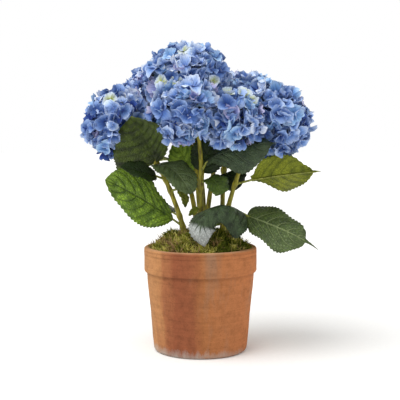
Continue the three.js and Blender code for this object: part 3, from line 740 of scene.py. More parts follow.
def carried_frames(spine: np.ndarray) -> tuple[np.ndarray, np.ndarray]:
    """Two directions across a spine at each of its points, carried along it without twist.

    Args:
        spine: the points, in order.

    Returns:
        The two directions at each point.
    """
    ways = unit(np.gradient(spine, axis=0))
    across = [basis(ways[0], 0.0)[0]]
    for way in ways[1:]:
        across.append(unit(across[-1] - way * np.dot(across[-1], way)))
    first = np.array(across)
    return first, np.cross(ways, first)


def spun(outline: list[Pair], steps: int) -> BMesh:
    """Spin a section about the upright axis, once round.

    Args:
        outline: radius and height of each point of the section.
        steps: how many faces go round.

    Returns:
        The closed shape.
    """
    shape = bmesh.new()
    section = [shape.verts.new((r, 0, z)) for r, z in outline]
    edges = [shape.edges.new(pair) for pair in zip(section, section[1:])]
    bmesh.ops.spin(shape, geom=section + edges, cent=(0, 0, 0), axis=(0, 0, 1), angle=FULL_TURN, steps=steps,
                   use_merge=True)
    bmesh.ops.remove_doubles(shape, verts=shape.verts[:], dist=WELD)
    return shape


def add_tube(shape: BMesh, spine: np.ndarray, radii: np.ndarray, cell: tuple[float, float]) -> list:
    """Add a closed round limb along a spine: a grid rolled up, welded along its seam and capped.

    Args:
        shape: the bmesh that takes it.
        spine: its middle, one point for each ring.
        radii: its radius at each ring and each column of the grid.
        cell: where its strip of the UV map starts, and how wide it is.

    Returns:
        Its faces.
    """
    rings, around = radii.shape
    chart = shape.loops.layers.uv.verify()
    before = set(shape.faces)
    grid = bmesh.ops.create_grid(shape, x_segments=around, y_segments=rings - 1, size=1.0)["verts"]
    for face in set(shape.faces) - before:
        for loop in face.loops:
            flat = (loop.vert.co + Vector((1, 1, 0))) / 2
            loop[chart].uv = (cell[0] + cell[1] * flat.x, flat.y)
    first, second = carried_frames(spine)
    for vertex in grid:
        column = round((vertex.co.x + 1) / 2 * around)
        ring = round((vertex.co.y + 1) / 2 * (rings - 1))
        angle = FULL_TURN * column / around
        out = first[ring] * math.cos(angle) + second[ring] * math.sin(angle)
        vertex.co = Vector(spine[ring] + radii[ring, column % around] * out)
    bmesh.ops.remove_doubles(shape, verts=grid, dist=WELD)
    ends = [edge for edge in shape.edges if edge.is_boundary and not before.intersection(edge.link_faces)]
    bmesh.ops.holes_fill(shape, edges=ends, sides=around)
    made = [face for face in shape.faces if face not in before]
    bmesh.ops.recalc_face_normals(shape, faces=made)
    return made


def joined_mesh(name: str, points: np.ndarray, faces: np.ndarray, chart: np.ndarray,
                tints: np.ndarray) -> Mesh:
    """One mesh of many small things from arrays.

    Args:
        name: the mesh's name.
        points: every vertex.
        faces: the corners of every face, all with as many.
        chart: the UV place of every vertex.
        tints: the material number of every face.

    Returns:
        The mesh.
    """
    mesh = bpy.data.meshes.new(name)
    mesh.vertices.add(len(points))
    mesh.vertices.foreach_set("co", points.astype(np.float32).ravel())
    mesh.loops.add(faces.size)
    mesh.loops.foreach_set("vertex_index", faces.astype(np.int32).ravel())
    mesh.polygons.add(len(faces))
    mesh.polygons.foreach_set("loop_start", np.arange(0, faces.size, faces.shape[1], dtype=np.int32))
    mesh.polygons.foreach_set("material_index", tints.astype(np.int32))
    layer = mesh.uv_layers.new(name=BAKE_MAP)
    layer.data.foreach_set("uv", chart[faces.ravel()].astype(np.float32).ravel())
    mesh.update(calc_edges=True)
    mesh.validate()
    mesh.shade_smooth()
    return mesh


def sheet_template(across: int, along: int) -> tuple[np.ndarray, np.ndarray]:
    """A flat grid to stamp many small blades from.

    Args:
        across: its faces across.
        along: its faces along.

    Returns:
        Each vertex's place, from -1 to 1 across and 0 to 1 along, and the corners of each face.
    """
    sheet = bmesh.new()
    bmesh.ops.create_grid(sheet, x_segments=across, y_segments=along, size=1.0)
    sheet.verts.index_update()
    places = np.array([(vertex.co.x, (vertex.co.y + 1) / 2) for vertex in sheet.verts])
    corners = np.array([[vertex.index for vertex in face.verts] for face in sheet.faces])
    sheet.free()
    return places, corners


def copied_faces(corners: np.ndarray, count: int, size: int) -> np.ndarray:
    """The faces of many copies of one thing.

    Args:
        corners: the corners of one copy's faces.
        count: how many copies there are.
        size: how many vertices one copy has.

    Returns:
        The corners of every face.
    """
    return (corners[None] + np.arange(count)[:, None, None] * size).reshape(-1, corners.shape[1])


def tree_of(mesh: Mesh) -> BVHTree:
    """A search tree of a mesh's faces, to test what touches it."""
    return BVHTree.FromPolygons([v.co.copy() for v in mesh.vertices], [p.vertices[:] for p in mesh.polygons])


@dataclass(frozen=True)
class Shoot:
    """One stem and its flower head, in millimetres: its foot on the soil, its head and how it gets there."""

    name: str
    foot: tuple[float, float]
    head: Place
    radius: float
    lead: float  # how far before its tip the stem turns the way that the head looks
    look: Place | None = None  # where the head looks another way than out of the crown
    rise: float = 38  # how far the stem climbs before it leans
    cover: float = 128  # degrees from the crown of the head down to its lowest florets

    @property
    def heart(self) -> Vector:
        """The middle of the flower head, in metres."""
        return Vector(self.head) * MM

    @property
    def axis(self) -> Vector:
        """The way that the head looks: away from the crown's heart, or its own way."""
        return (Vector(self.look) if self.look else self.heart - CROWN_HEART).normalized()


SHOOTS = (
    Shoot("left", (-19, -6), (-119, 0, 334), 59, 48),
    Shoot("front_left", (-2, -12), (-22, -62, 347), 56, 30, look=(-0.45, -0.5, 0.74)),
    Shoot("front_right", (6, -2), (46, -57, 335), 50, 45, look=(0.35, -0.78, 0.52), cover=152),
    Shoot("right", (30, -2), (103, -2, 339), 64, 40, look=(0.61, -0.04, 0.79), cover=152),
    Shoot("back_right", (33, 20), (62, 76, 366), 56, 50),
    Shoot("back_left", (-4, 25), (-74, 72, 373), 56, 80, rise=80),
    Shoot("back", (9, 35), (-4, 100, 346), 52, 45, cover=150),
    Shoot("top", (2, 10), (-21, 6, 392), 68, 60, cover=150),
)


@dataclass(frozen=True)
class LeafRow:
    """One leaf, in millimetres and degrees: where it springs, where it ends, which way its face looks."""

    name: str
    stem: str
    at: float  # share of the stem's length
    tip: Place
    face: Place
    stalk: float  # share of the leaf's length
    width: float
    bend: float  # how far the tip curls under
    tint: LeafTint = LeafTint.MIDDLE
    curl: float = 1.3  # how late the curl comes
    base: float = 0.52  # how narrow the blade's base is
    point: float = 0.74  # how drawn out its end is
    drip: float = 0.0  # share of the blade that is a slim drip tip
    fold: float = 0.16  # rise of the margins over the midrib, for each unit of width
    skew: float = 0.0  # how far one half lies ahead of the other, for each unit of width
    twist: float = 0.0  # turn of the blade about its midrib
    near: Swells = ()  # of its left half
    far: Swells = ()  # of its right half
    twin_of: str = ""  # a leaf that springs from the end of that leaf's stalk


LEAF_ROWS = (
    LeafRow("left_low", "left", 0.227, (-137, -26, 252), (0, -0.88, 0.48), 0.13, 71, 30, LeafTint.BRIGHT,
            base=1.0, point=0.85, skew=0.37, fold=0.05,
            near=((-0.14, 0.78, 0.12),), far=((-0.18, 0.27, 0.1),)),
    LeafRow("left_high", "left", 0.754, (-98, -54, 341), (-0.45, -0.9, 0.1), 0.04, 98, -18, LeafTint.OLIVE,
            base=0.5, point=0.45, skew=0.45, fold=0.42, near=((0.25, 0.25, 0.2),)),
    LeafRow("left_flat", "left", 0.62, (-112, -52, 271), (0, -0.8, 0.6), 0.22, 30, 16, LeafTint.PAINTED_SHADE),
    LeafRow("left_cross", "left", 0.754, (-14, -62, 234), (0.2, -0.6, 0.75), 0.04, 48, 60, LeafTint.GREYED,
            base=0.38, point=0.46),
    LeafRow("left_small", "left", 0.52, (-22, -15, 211), (0.4, -0.5, 0.7), 0.3, 16, 120, LeafTint.YELLOW,
            curl=0.5),
    LeafRow("middle_back", "top", 0.52, (-38, 10, 306), (-0.1, -0.9, 0.3), 0.06, 52, 10, LeafTint.PAINTED_LIGHT),
    LeafRow("middle_small", "front_left", 0.4, (-17, -26, 200), (-0.3, -0.8, 0.4), 0.2, 9, 20,
            LeafTint.YELLOW),
    # a leaf dark with painted shade, in the shadow behind right_high
    LeafRow("middle_high", "front_left", 0.64, (24, -28, 322), (-0.1, -0.9, 0.3), 0.06, 48, 8,
            LeafTint.PAINTED_SHADE),
    LeafRow("middle_hang", "front_left", 0.58, (29, -46, 232), (0.3, -0.6, 0.7), 0.3, 38, 120,
            curl=0.7, point=0.42),
    LeafRow("right_high", "front_left", 0.67, (106, -64, 306), (0.16, -0.57, 0.47), 0.16, 60, 73,
            LeafTint.DARK, curl=0.4, base=1.49, point=0.81, drip=0.07, skew=-0.15, fold=-0.44, twist=-14,
            near=((0.14, 0.17, 0.16), (-0.09, 0.82, 0.2)), far=((0.11, 0.5, 0.18), (0.1, 0.65, 0.1))),
    LeafRow("right_behind", "back_right", 0.6, (53, 22, 234), (0.1, -0.8, 0.6), 0.12, 50, 40, LeafTint.PAINTED_SHADE),
    LeafRow("right_far", "right", 0.602, (175, -10, 264), (-0.18, 0.57, 0.44), 0.2, 62, 15, LeafTint.YELLOW,
            curl=0.4, base=1.03, point=0.71, drip=0.11, skew=-0.11, fold=0.31, twist=2,
            near=((0.43, 0.36, 0.15), (0.38, 0.51, 0.19)), far=((0.6, 0.12, 0.16), (-0.45, 0.8, 0.1))),
    LeafRow("low_right", "right", 0.392, (164, -70, 157), (0.34, -0.91, 0.56), 0.22, 77, 27, LeafTint.BLUISH,
            curl=3, base=0.42, point=0.43, drip=0.18, skew=0.42, fold=-0.16, twist=3,
            near=((0.3, 0.47, 0.18), (-0.43, 0.5, 0.22)), far=((-0.25, 0.24, 0.2), (-0.54, 0.9, 0.28))),
    LeafRow("low_front", "right", 0.392, (6, -71, 161), (0.1, -0.1, 1), 0.04, 58, 177, LeafTint.HIGHLIGHT_TIPPED,
            curl=1.84, base=0.25, point=0.45, fold=-1.0, twist=-38,
            near=((0.24, 0.28, 0.18), (-0.51, 0.59, 0.2), (-0.14, 0.88, 0.1)), twin_of="low_right"),
    LeafRow("back_low_left", "left", 0.31, (-108, 86, 200), (-0.2, 0.5, 0.85), 0.14, 56, 36),
    LeafRow("back_low_middle", "back", 0.16, (34, 126, 178), (0.1, 0.4, 0.9), 0.12, 46, 40, LeafTint.BRIGHT),
    LeafRow("back_low_right", "back_right", 0.16, (128, 74, 176), (0.2, 0.5, 0.85), 0.14, 56, 36),
    LeafRow("back_far_left", "left", 0.856, (-104, 88, 290), (-0.2, 0.7, 0.7), 0.12, 60, 30, LeafTint.OLIVE),
    LeafRow("back_left", "back_left", 0.62, (-88, 132, 266), (-0.1, 0.35, 0.93), 0.12, 60, 36),
    LeafRow("back_middle", "back", 0.62, (10, 136, 262), (0, 0.6, 0.8), 0.1, 62, 36, LeafTint.BLUISH),
    LeafRow("back_right", "back_right", 0.62, (92, 128, 288), (0.2, 0.6, 0.8), 0.12, 62, 40, LeafTint.OLIVE),
    LeafRow("back_far_right", "right", 0.789, (128, 86, 290), (0.2, 0.7, 0.7), 0.12, 56, 34),
)


@dataclass
class TerracottaPot:
    """The pot: a thrown wall with a worn foot, a stepped collar and a rounded lip."""

    height: float = POT_HEIGHT
    rim_radius: float = RIM_RADIUS
    lip_rounding: float = 3.5 * MM
    collar_height: float = 37 * MM
    collar_step: float = 4 * MM
    grooves: tuple[float, ...] = (142.9 * MM, 148.4 * MM)  # heights of the lines turned into the collar
    groove_width: float = 0.8 * MM
    groove_depth: float = 0.6 * MM
    wall: float = 8.5 * MM
    floor: float = 10 * MM
    foot_radius: float = 69 * MM
    foot_rounding: float = 5 * MM
    rounding_points: int = 5
    turns: int = 128
    ring_gap: float = 3 * MM  # between the rings that the wall's relief is modelled on
    wobble: float = 0.7 * MM
    wobble_span: float = 38 * MM
    dent: float = 0.22 * MM
    dent_span: float = 7 * MM
    chip: float = 2.6 * MM
    chip_span: float = 9 * MM
    chip_shift: Place = (7, 3, 1)  # where the chips' noise is read, apart from the dents'
    chip_from: float = 0.12  # of that noise, where a chip starts
    chip_reach: float = 4 * MM  # how far from an edge the clay chips

    def inner_radius(self, z: float) -> float:
        """The wall's inside radius at a height."""
        share = (z - self.floor) / (self.height - self.lip_rounding - self.floor)
        return self.foot_radius - self.wall + share * (self.rim_radius - self.foot_radius)

    def profile(self) -> list[Pair]:
        """The section from the middle of the underside round to the middle of the inside floor.

        Returns:
            Radius and height of each point, close enough together to carry relief.
        """
        collar = self.height - self.collar_height
        lip = self.height - self.lip_rounding
        corners = [(0.0, 0.0), (self.foot_radius - self.foot_rounding, 0.0)]
        corners += self.rounding(self.foot_radius - self.foot_rounding, self.foot_rounding,
                                 self.foot_rounding, -90, 0)
        corners += [(self.rim_radius - self.collar_step, collar)]
        corners += self.rounding(self.rim_radius - self.collar_step, collar + self.collar_step,
                                 self.collar_step, -90, 0)
        for groove in self.grooves:
            corners += [(self.rim_radius, groove - self.groove_width),
                        (self.rim_radius - self.groove_depth, groove),
                        (self.rim_radius, groove + self.groove_width)]
        corners += self.rounding(self.rim_radius - self.lip_rounding, lip, self.lip_rounding, 0, 90)
        corners += self.rounding(self.rim_radius - self.wall + self.lip_rounding, lip,
                                 self.lip_rounding, 90, 180)
        corners += [(self.inner_radius(self.floor), self.floor), (0.0, self.floor)]
        points = [corners[0]]
        for start, end in zip(corners, corners[1:]):
            steps = max(1, round(math.dist(start, end) / self.ring_gap))
            for step in range(1, steps + 1):
                points.append(tuple(a + (b - a) * step / steps for a, b in zip(start, end)))
        return points

    def rounding(self, r: float, z: float, radius: float, start: float, end: float) -> list[Pair]:
        """A quarter round of the section.

        Args:
            r: radius of its centre from the pot's axis.
            z: height of its centre.
            radius: its own radius.
            start: the angle where it starts, in degrees.
            end: the angle where it ends.

        Returns:
            Radius and height of its points.
        """
        angles = np.radians(np.linspace(start, end, self.rounding_points))
        return [(r + radius * math.cos(a), z + radius * math.sin(a)) for a in angles]

    def worn(self, place: Vector) -> Vector:
        """Where a point of the true section ends up on a hand-made, chipped pot.

        Args:
            place: the point on the true section.

        Returns:
            The moved point.
        """
        out = Vector((place.x, place.y, 0))
        if out.length < self.foot_radius / 2:
            return place
        out.normalize()
        wobble = (self.wobble * noise.noise(place / self.wobble_span)
                  + self.dent * noise.noise(place / self.dent_span))
        edges = (0.0, self.height - self.collar_height + 0.5 * self.collar_step, self.height)
        near = min(abs(place.z - edge) for edge in edges)
        bite = max(0.0, noise.noise(place / self.chip_span + Vector(self.chip_shift)) - self.chip_from)
        chip = self.chip * bite * math.exp(-((near / self.chip_reach) ** 2))
        return place + out * (wobble - chip)

    def build(self) -> Object:
        """Spin the section, wear it all but its flat underside, and dress it.

        Returns:
            The pot's piece.
        """
        shape = spun(self.profile(), self.turns)
        for vertex in shape.verts:
            if vertex.co.z > 0:
                vertex.co = self.worn(vertex.co)
        bmesh.ops.recalc_face_normals(shape, faces=shape.faces[:])
        pot = new_object("pot_terracotta", mesh_from("pot_terracotta", shape), [Terracotta()])
        add_piece(pot, "pot")
        return pot


@dataclass
class MossBed:
    """The bed of moss: a mound of felt that rises over the rim, grown over with sprigs in patches."""

    radius: float = 73 * MM
    bottom: float = 141.3 * MM
    edge: float = 147 * MM
    rise: float = 20 * MM
    dome: float = 0.8  # how soon the mound rises from its edge, sooner below 1
    tufts: tuple[tuple[float, float, float, float], ...] = (
        (-44, -4, 9, 11), (-24, -30, 4, 12), (26, -8, 4, 14),
        (44, 22, 6, 14), (-8, 44, 6, 16), (10, -40, 3, 12),
    )  # where the moss is bunched up: x, y, extra height and breadth, in millimetres
    tuft_slope: float = 6  # how steeply the tufts come in from the edge
    turns: int = 96
    rings: int = 26
    lump: float = 3.6 * MM
    lump_span: float = 11 * MM
    lump_level: float = 0.3  # where the lumps' noise is cut
    small_lump: float = 0.5  # against the others
    small_span: float = 5 * MM
    small_level: float = 0.1
    lump_slope: float = 5  # as tuft_slope
    sprigs: int = 3600
    sink: float = 1.5 * MM  # how deep a sprig's foot stands in the felt
    strands: int = 5  # blades of one sprig
    blade_faces: int = 3
    sprig_length: float = 9 * MM
    lengths: Pair = (0.45, 0.75)  # the shortest blade's share of it, and how much more the longest has
    sprig_width: float = 1.15 * MM  # half a blade's width at its foot, drawn wider than life so that it shows
    blunt: float = 1.05  # a blade narrows as if it ended this far along
    splay: float = 0.5  # how far the blades lean out at the edge
    stray: float = 0.75  # how far they lean by chance
    upright: float = 0.6  # how far they keep up
    bow: float = 0.9  # how far a blade bows, for each unit of length
    bow_back: float = 0.3  # share of them that bow back
    straw_stretch: float = 1.5  # how much longer and slimmer the brown blades are
    patch: float = 13 * MM
    patch_lean: float = 0.4  # how much lighter the left of the bed is
    patch_blur: float = 0.5  # how far the patches run into each other
    lime_from: float = 0.2
    olive_from: float = -0.12
    straw_shift: Place = (5, 9, 2)  # where the straw's noise is read, apart from the patches'
    straw_lean: float = 0.3
    straw_blur: float = 0.4
    straw_from: float = 0.3

    def height(self, x: float, y: float) -> float:
        """The mound's height at a place.

        Args:
            x: metres to the right of the pot's axis.
            y: metres behind it.

        Returns:
            The height over the ground.
        """
        inland = max(0.0, 1 - math.hypot(x, y) / self.radius)
        swell = (self.rise + POT_HEIGHT - self.edge) * math.sin(inland * math.pi / 2) ** self.dome
        for tuft_x, tuft_y, tall, broad in self.tufts:
            far = math.hypot(x / MM - tuft_x, y / MM - tuft_y) / broad
            swell += tall * MM * math.exp(-far * far) * min(1.0, self.tuft_slope * inland)
        lumps = (noise.noise(Vector((x, y, self.lump_level)) / self.lump_span)
                 + self.small_lump * noise.noise(Vector((x, y, self.small_level)) / self.small_span))
        return self.edge + swell + self.lump * lumps * min(1.0, self.lump_slope * inland)

    def build(self) -> list[Object]:
        """Model the mound and its sprigs and dress them.

        Returns:
            The mound's piece and the sprigs' piece.
        """
        mound = new_object("moss_mound", self.mound(), [MossMat()])
        add_piece(mound, "moss")
        growth = new_object("moss_sprigs", self.growth(), [SPRIGS[tint] for tint in MossTint])
        add_piece(growth, "moss")
        return [mound, growth]

    def mound(self) -> Mesh:
        """The felted mound: a section spun about the axis and lifted into lumps.

        Returns:
            The mound's mesh.
        """
        radii = [self.radius * ring / self.rings for ring in range(self.rings + 1)]
        outline = [(0.0, self.bottom), (self.radius, self.bottom)]
        outline += [(r, self.edge) for r in reversed(radii)]
        shape = spun(outline, self.turns)
        for vertex in shape.verts:
            if vertex.co.z > self.bottom:
                vertex.co.z = self.height(vertex.co.x, vertex.co.y)
        bmesh.ops.recalc_face_normals(shape, faces=shape.faces[:])
        return mesh_from("moss_mound", shape)

    def tint_at(self, foot: np.ndarray, random: np.random.Generator) -> MossTint:
        """The shade of a sprig by its patch: light and strawy on the left of the bed, dark on its right.

        Args:
            foot: where the sprig stands.
            random: the bed's own source of numbers.

        Returns:
            The shade.
        """
        leftness = -foot[0] / self.radius
        spread = random.random() - 0.5
        straw = noise.noise(Vector(foot) / self.patch + Vector(self.straw_shift)) + self.straw_lean * leftness
        patch = noise.noise(Vector(foot) / self.patch) + self.patch_lean * leftness
        if straw + self.straw_blur * spread > self.straw_from:
            return MossTint.BROWN
        if patch + self.patch_blur * spread > self.lime_from:
            return MossTint.LIME
        return MossTint.OLIVE if patch + self.patch_blur * spread > self.olive_from else MossTint.DARK

    def growth(self) -> Mesh:
        """The sprigs: each a handful of narrow arching blades, in the shade of its patch.

        Returns:
            The sprigs' mesh.
        """
        random = np.random.default_rng(SEED)
        places, corners = sheet_template(1, self.blade_faces)
        across, along = places.T
        points, chart, tints = [], [], []
        for _ in range(self.sprigs):
            angle, far = FULL_TURN * random.random(), self.radius * math.sqrt(random.random())
            foot = np.array((far * math.cos(angle), far * math.sin(angle), 0.0))
            foot[2] = self.height(foot[0], foot[1]) - self.sink
            tint = self.tint_at(foot, random)
            out = np.array((math.cos(angle), math.sin(angle), 0.0)) * self.splay * far / self.radius
            stretch = self.straw_stretch if tint is MossTint.BROWN else 1.0
            for _ in range(self.strands):
                way = unit(out + random.normal(0, self.stray, 3) + np.array((0, 0, self.upright / stretch)))
                axes = basis(way, FULL_TURN * random.random())
                shortest, more = self.lengths
                length = self.sprig_length * stretch * (shortest + more * random.random())
                half = self.sprig_width / stretch * (self.blunt - along)
                bow = self.bow * length * (random.random() - self.bow_back) * along**2
                points.append(foot + np.outer(across * half, axes[0]) + np.outer(bow, axes[1])
                              + np.outer(along * length, axes[2]))
                cell = (tint.value + 0.5 + SPRIG_CELL * across) / len(MossTint)
                chart.append(np.column_stack((cell, along)))
                tints.append(tint.value)
        faces = copied_faces(corners, len(points), len(places))
        return joined_mesh("moss_sprigs", np.concatenate(points), faces, np.concatenate(chart),
                           np.repeat(tints, len(corners)))


@dataclass
class Stem:
    """A stem: up out of the soil, over to its flower head, with a knuckle where each leaf springs."""

    shoot: Shoot
    foot_radius: float = 4.1 * MM
    tip_radius: float = 2.7 * MM
    flare_share: float = 0.35
    flare_height: float = 12 * MM
    neck: float = 0.62  # from the head's middle to the stem's tip, as a share of the head's radius
    knuckle: float = 0.3  # swelling where a leaf springs, as a share of the radius
    knuckle_reach: float = 4.5 * MM
    ridge: float = 0.1  # height of the ridges along it, as a share of the radius
    ridge_span: float = 14 * MM
    ridge_pace: float = 1.7  # how fast the ridges change, and the finer ones over them
    fine_pace: float = 4
    fine_ridge: float = 0.5  # height of the finer ones against the others
    around: int = 14
    rings: int = 70
    samples: int = 400

    @property
    def tip(self) -> Vector:
        """Where the stem ends, under its flower head."""
        return self.shoot.heart - self.shoot.axis * (self.neck * self.shoot.radius * MM)

    def line(self, shares: np.ndarray) -> np.ndarray:
        """Points along the stem.

        Args:
            shares: how far along it each lies, from 0 at the soil to 1 at the tip.

        Returns:
            The points.
        """
        foot = np.array((*(np.array(self.shoot.foot) * MM), SOIL_TOP + STEM_CLEARANCE))
        tip = np.array(self.tip)
        lean = tip - np.array(self.shoot.axis) * self.shoot.lead * MM
        rise = foot + np.array((0, 0, self.shoot.rise * MM))
        t = np.linspace(0, 1, self.samples)[:, None]
        curve = (1 - t) ** 3 * foot + 3 * t * (1 - t) ** 2 * rise + 3 * t**2 * (1 - t) * lean + t**3 * tip
        way = np.concatenate(([0.0], np.cumsum(np.linalg.norm(np.diff(curve, axis=0), axis=1))))
        return np.column_stack([np.interp(shares * way[-1], way, curve[:, axis]) for axis in range(3)])

    def length(self) -> float:
        """The stem's length along its line."""
        points = self.line(np.linspace(0, 1, self.rings))
        return float(np.linalg.norm(np.diff(points, axis=0), axis=1).sum())

    def build(self) -> Object:
        """Model the stem with its taper, knuckles and ridges, and dress it.

        Returns:
            The stem's piece.
        """
        shares = np.linspace(0, 1, self.rings)
        spine = self.line(shares)
        length = self.length()
        taper = self.foot_radius + (self.tip_radius - self.foot_radius) * shares
        taper = taper * (1 + self.flare_share * np.exp(-shares * length / self.flare_height))
        for leaf in LEAF_ROWS:
            if leaf.stem == self.shoot.name and not leaf.twin_of:
                far = (shares - leaf.at) * length / self.knuckle_reach
                taper = taper * (1 + self.knuckle * np.exp(-far * far))
        radii = np.empty((self.rings, self.around))
        for ring in range(self.rings):
            for column in range(self.around):
                turn = FULL_TURN * column / self.around
                spot = Vector((math.cos(turn), math.sin(turn), shares[ring] * length / self.ridge_span))
                ridge = (noise.noise(spot * self.ridge_pace + Vector(self.shoot.head))
                         + self.fine_ridge * noise.noise(spot * self.fine_pace))
                radii[ring, column] = taper[ring] * (1 + self.ridge * ridge)
        shape = bmesh.new()
        add_tube(shape, spine, radii, (0.0, 1.0))
        name = f"stem_{self.shoot.name}_skin"
        stem = new_object(name, mesh_from(name, shape), [OLIVE_STEM])
        add_piece(stem, f"stem_{self.shoot.name}")
        return stem


@dataclass
class Midrib:
    """Places along a midrib, with the blade's own directions at each: up, across and onward."""

    points: np.ndarray
    up: np.ndarray
    across: np.ndarray
    onward: np.ndarray


@dataclass
class Leaf:
    """A leaf: a stalk that runs on as the midrib of a toothed blade, quilted between its veins."""

    row: LeafRow
    start: Vector
    thickness: float = 0.6 * MM
    stalk_radius: float = 1.5 * MM
    stalk_steps: int = 6
    rib_steps: int = 26
    rib_end: float = 0.97  # share of the blade where the midrib's ridge ends
    slimming: tuple[Pair, ...] = ((-1, 1.25), (0, 1.0), (0.1, 0.75), (1, 0.25))  # its radius along it
    rib_sinks: tuple[Pair, ...] = ((0, 0), (0.1, 1.1))  # how far it lies under the blade, in its radius
    stalk_sides: int = 8
    columns: int = 16
    least_half: float = 0.35 * MM
    tooth: float = 2.1 * MM
    tooth_gap: float = 5.5 * MM
    fewest_teeth: int = 5
    rows_each_tooth: int = 3
    tooth_reach: float = 5  # how close to the margin they keep, closer when higher
    tooth_start: float = 0.08  # share of the blade over which the teeth come in
    tooth_half: float = 9 * MM  # they shrink where half the blade is narrower than this
    tooth_end: Pair = (0.4, 0.1)  # how much of them is left at the tip, and over what share they shrink
    drip_width: float = 0.07  # half width of a drip tip, for each unit of leaf width
    drip_taper: float = 1.6
    quilt: float = 1.8 * MM
    quilt_round: float = 0.7  # how full the quilting is, fuller below 1
    quilt_fade: float = 3  # how far out it keeps its height, farther when higher
    quilt_start: float = 0.12  # share of half the blade over which it rises from the midrib
    wave: float = 2.0 * MM
    wave_reach: float = 2.5  # as tooth_reach
    waves: float = 2.4  # along a margin
    wave_shift: float = 2.1  # of the right margin's against the left one's, in radians
    wave_spread: float = 17  # millimetres of its tip's place that shift a leaf's waves by a radian
    fold_round: float = 1.2  # how rounded the fold along the midrib is, sharp at 1
    full_half: float = 16 * MM  # quilting and waves shrink where half the blade is narrower than this
    samples: int = 160

    def midrib(self, shares: np.ndarray) -> Midrib:
        """The midrib from the stem to the tip: straight along the stalk, then curling in its own plane.

        Args:
            shares: places along it, from -1 at the stem through 0 at the blade's base to 1 at the tip.

        Returns:
            Its points, and the blade's directions there.
        """
        row = self.row
        fine = np.concatenate(([-1.0], np.linspace(0, 1, self.samples)))
        way = np.where(fine < 0, fine * row.stalk, fine * (1 - row.stalk))
        bend = math.radians(row.bend)
        turns = -bend * np.maximum((fine[1:] + fine[:-1]) / 2, 0) ** row.curl
        ahead = np.concatenate(([0.0], np.cumsum(np.cos(turns) * np.diff(way))))
        rise = np.concatenate(([0.0], np.cumsum(np.sin(turns) * np.diff(way))))
        chord = np.array(Vector(row.tip) * MM - self.start)
        length = np.linalg.norm(chord) / math.hypot(ahead[-1], rise[-1])
        side = unit(np.cross(chord, np.array(row.face)))
        lift = math.atan2(rise[-1], ahead[-1])
        along = unit(chord) * math.cos(lift) - np.cross(side, unit(chord)) * math.sin(lift)
        above = np.cross(side, along)
        ahead, rise = np.interp(shares, fine, ahead), np.interp(shares, fine, rise)
        heading = -bend * np.maximum(shares, 0) ** row.curl
        up = np.outer(np.cos(heading), above) - np.outer(np.sin(heading), along)
        across = np.broadcast_to(side, up.shape)
        twist = math.radians(row.twist) * np.maximum(shares, 0)[:, None]
        return Midrib(
            points=np.array(self.start) + length * (np.outer(ahead, along) + np.outer(rise, above)),
            up=up * np.cos(twist) + across * np.sin(twist),
            across=across * np.cos(twist) - up * np.sin(twist),
            onward=np.cross(up, across),
        )

    def half_width(self, shares: np.ndarray) -> np.ndarray:
        """Half the blade's width along it, from its base to its drawn-out tip.

        Args:
            shares: places along the blade, from 0 to 1.

        Returns:
            The half widths in metres.
        """
        base, point, drip = self.row.base, self.row.point, self.row.drip
        widest = (base / (base + point)) ** base * (point / (base + point)) ** point
        body = np.minimum(shares / (1 - drip), 1)
        half = 0.5 * self.row.width * MM * body**base * (1 - body) ** point / widest
        if drip:
            taper = np.minimum((1 - shares) / (drip * self.drip_taper), 1)
            half = np.maximum(half, self.drip_width * self.row.width * MM * taper)
        return half

    @staticmethod
    def swelling(shares: np.ndarray, swells: Swells) -> np.ndarray:
        """How much wider than usual half a blade is along its length.

        Args:
            shares: places along the blade, from 0 to 1.
            swells: the swells of that half.

        Returns:
            A factor for each place.
        """
        return 1 + sum(amount * np.exp(-(((shares - place) / breadth) ** 2))
                       for amount, place, breadth in swells)

    def length(self) -> float:
        """The blade's length along its midrib."""
        points = self.midrib(np.linspace(0, 1, self.samples)).points
        return float(np.linalg.norm(np.diff(points, axis=0), axis=1).sum())

    def fork(self) -> Vector:
        """The end of the stalk, where a twin leaf springs."""
        return Vector(self.midrib(np.zeros(1)).points[0])

    def build(self) -> Object:
        """Model the blade, its underside and its stalk, and dress them.

        Returns:
            The leaf's piece.
        """
        teeth = max(self.fewest_teeth, round(self.length() / self.tooth_gap))
        rows = teeth * self.rows_each_tooth
        shape = bmesh.new()
        chart = shape.loops.layers.uv.new(BAKE_MAP)
        bmesh.ops.create_grid(shape, x_segments=self.columns, y_segments=rows, size=1.0)
        for face in shape.faces:
            for loop in face.loops:
                flat = (loop.vert.co + Vector((1, 1, 0))) / 2
                loop[chart].uv = (TOP_CELL * flat.x, flat.y)
        self.shape_blade(shape, rows)
        upper = set(shape.faces)
        bmesh.ops.recalc_face_normals(shape, faces=shape.faces[:])
        shape.normal_update()
        bmesh.ops.solidify(shape, geom=shape.faces[:], thickness=self.thickness)
        top_points = {vertex for face in upper for vertex in face.verts}
        for face in shape.faces:
            if not top_points.intersection(face.verts):
                face.material_index = 1
                for loop in face.loops:
                    loop[chart].uv.x += UNDER_CELL
        self.add_stalk(shape)
        name = f"leaf_{self.row.name}_blade"
        leaf = new_object(name, mesh_from(name, shape), [LEAF_TOPS[self.row.tint], LEAF_BACK, PALE_STALK])
        add_piece(leaf, f"leaf_{self.row.name}")
        return leaf

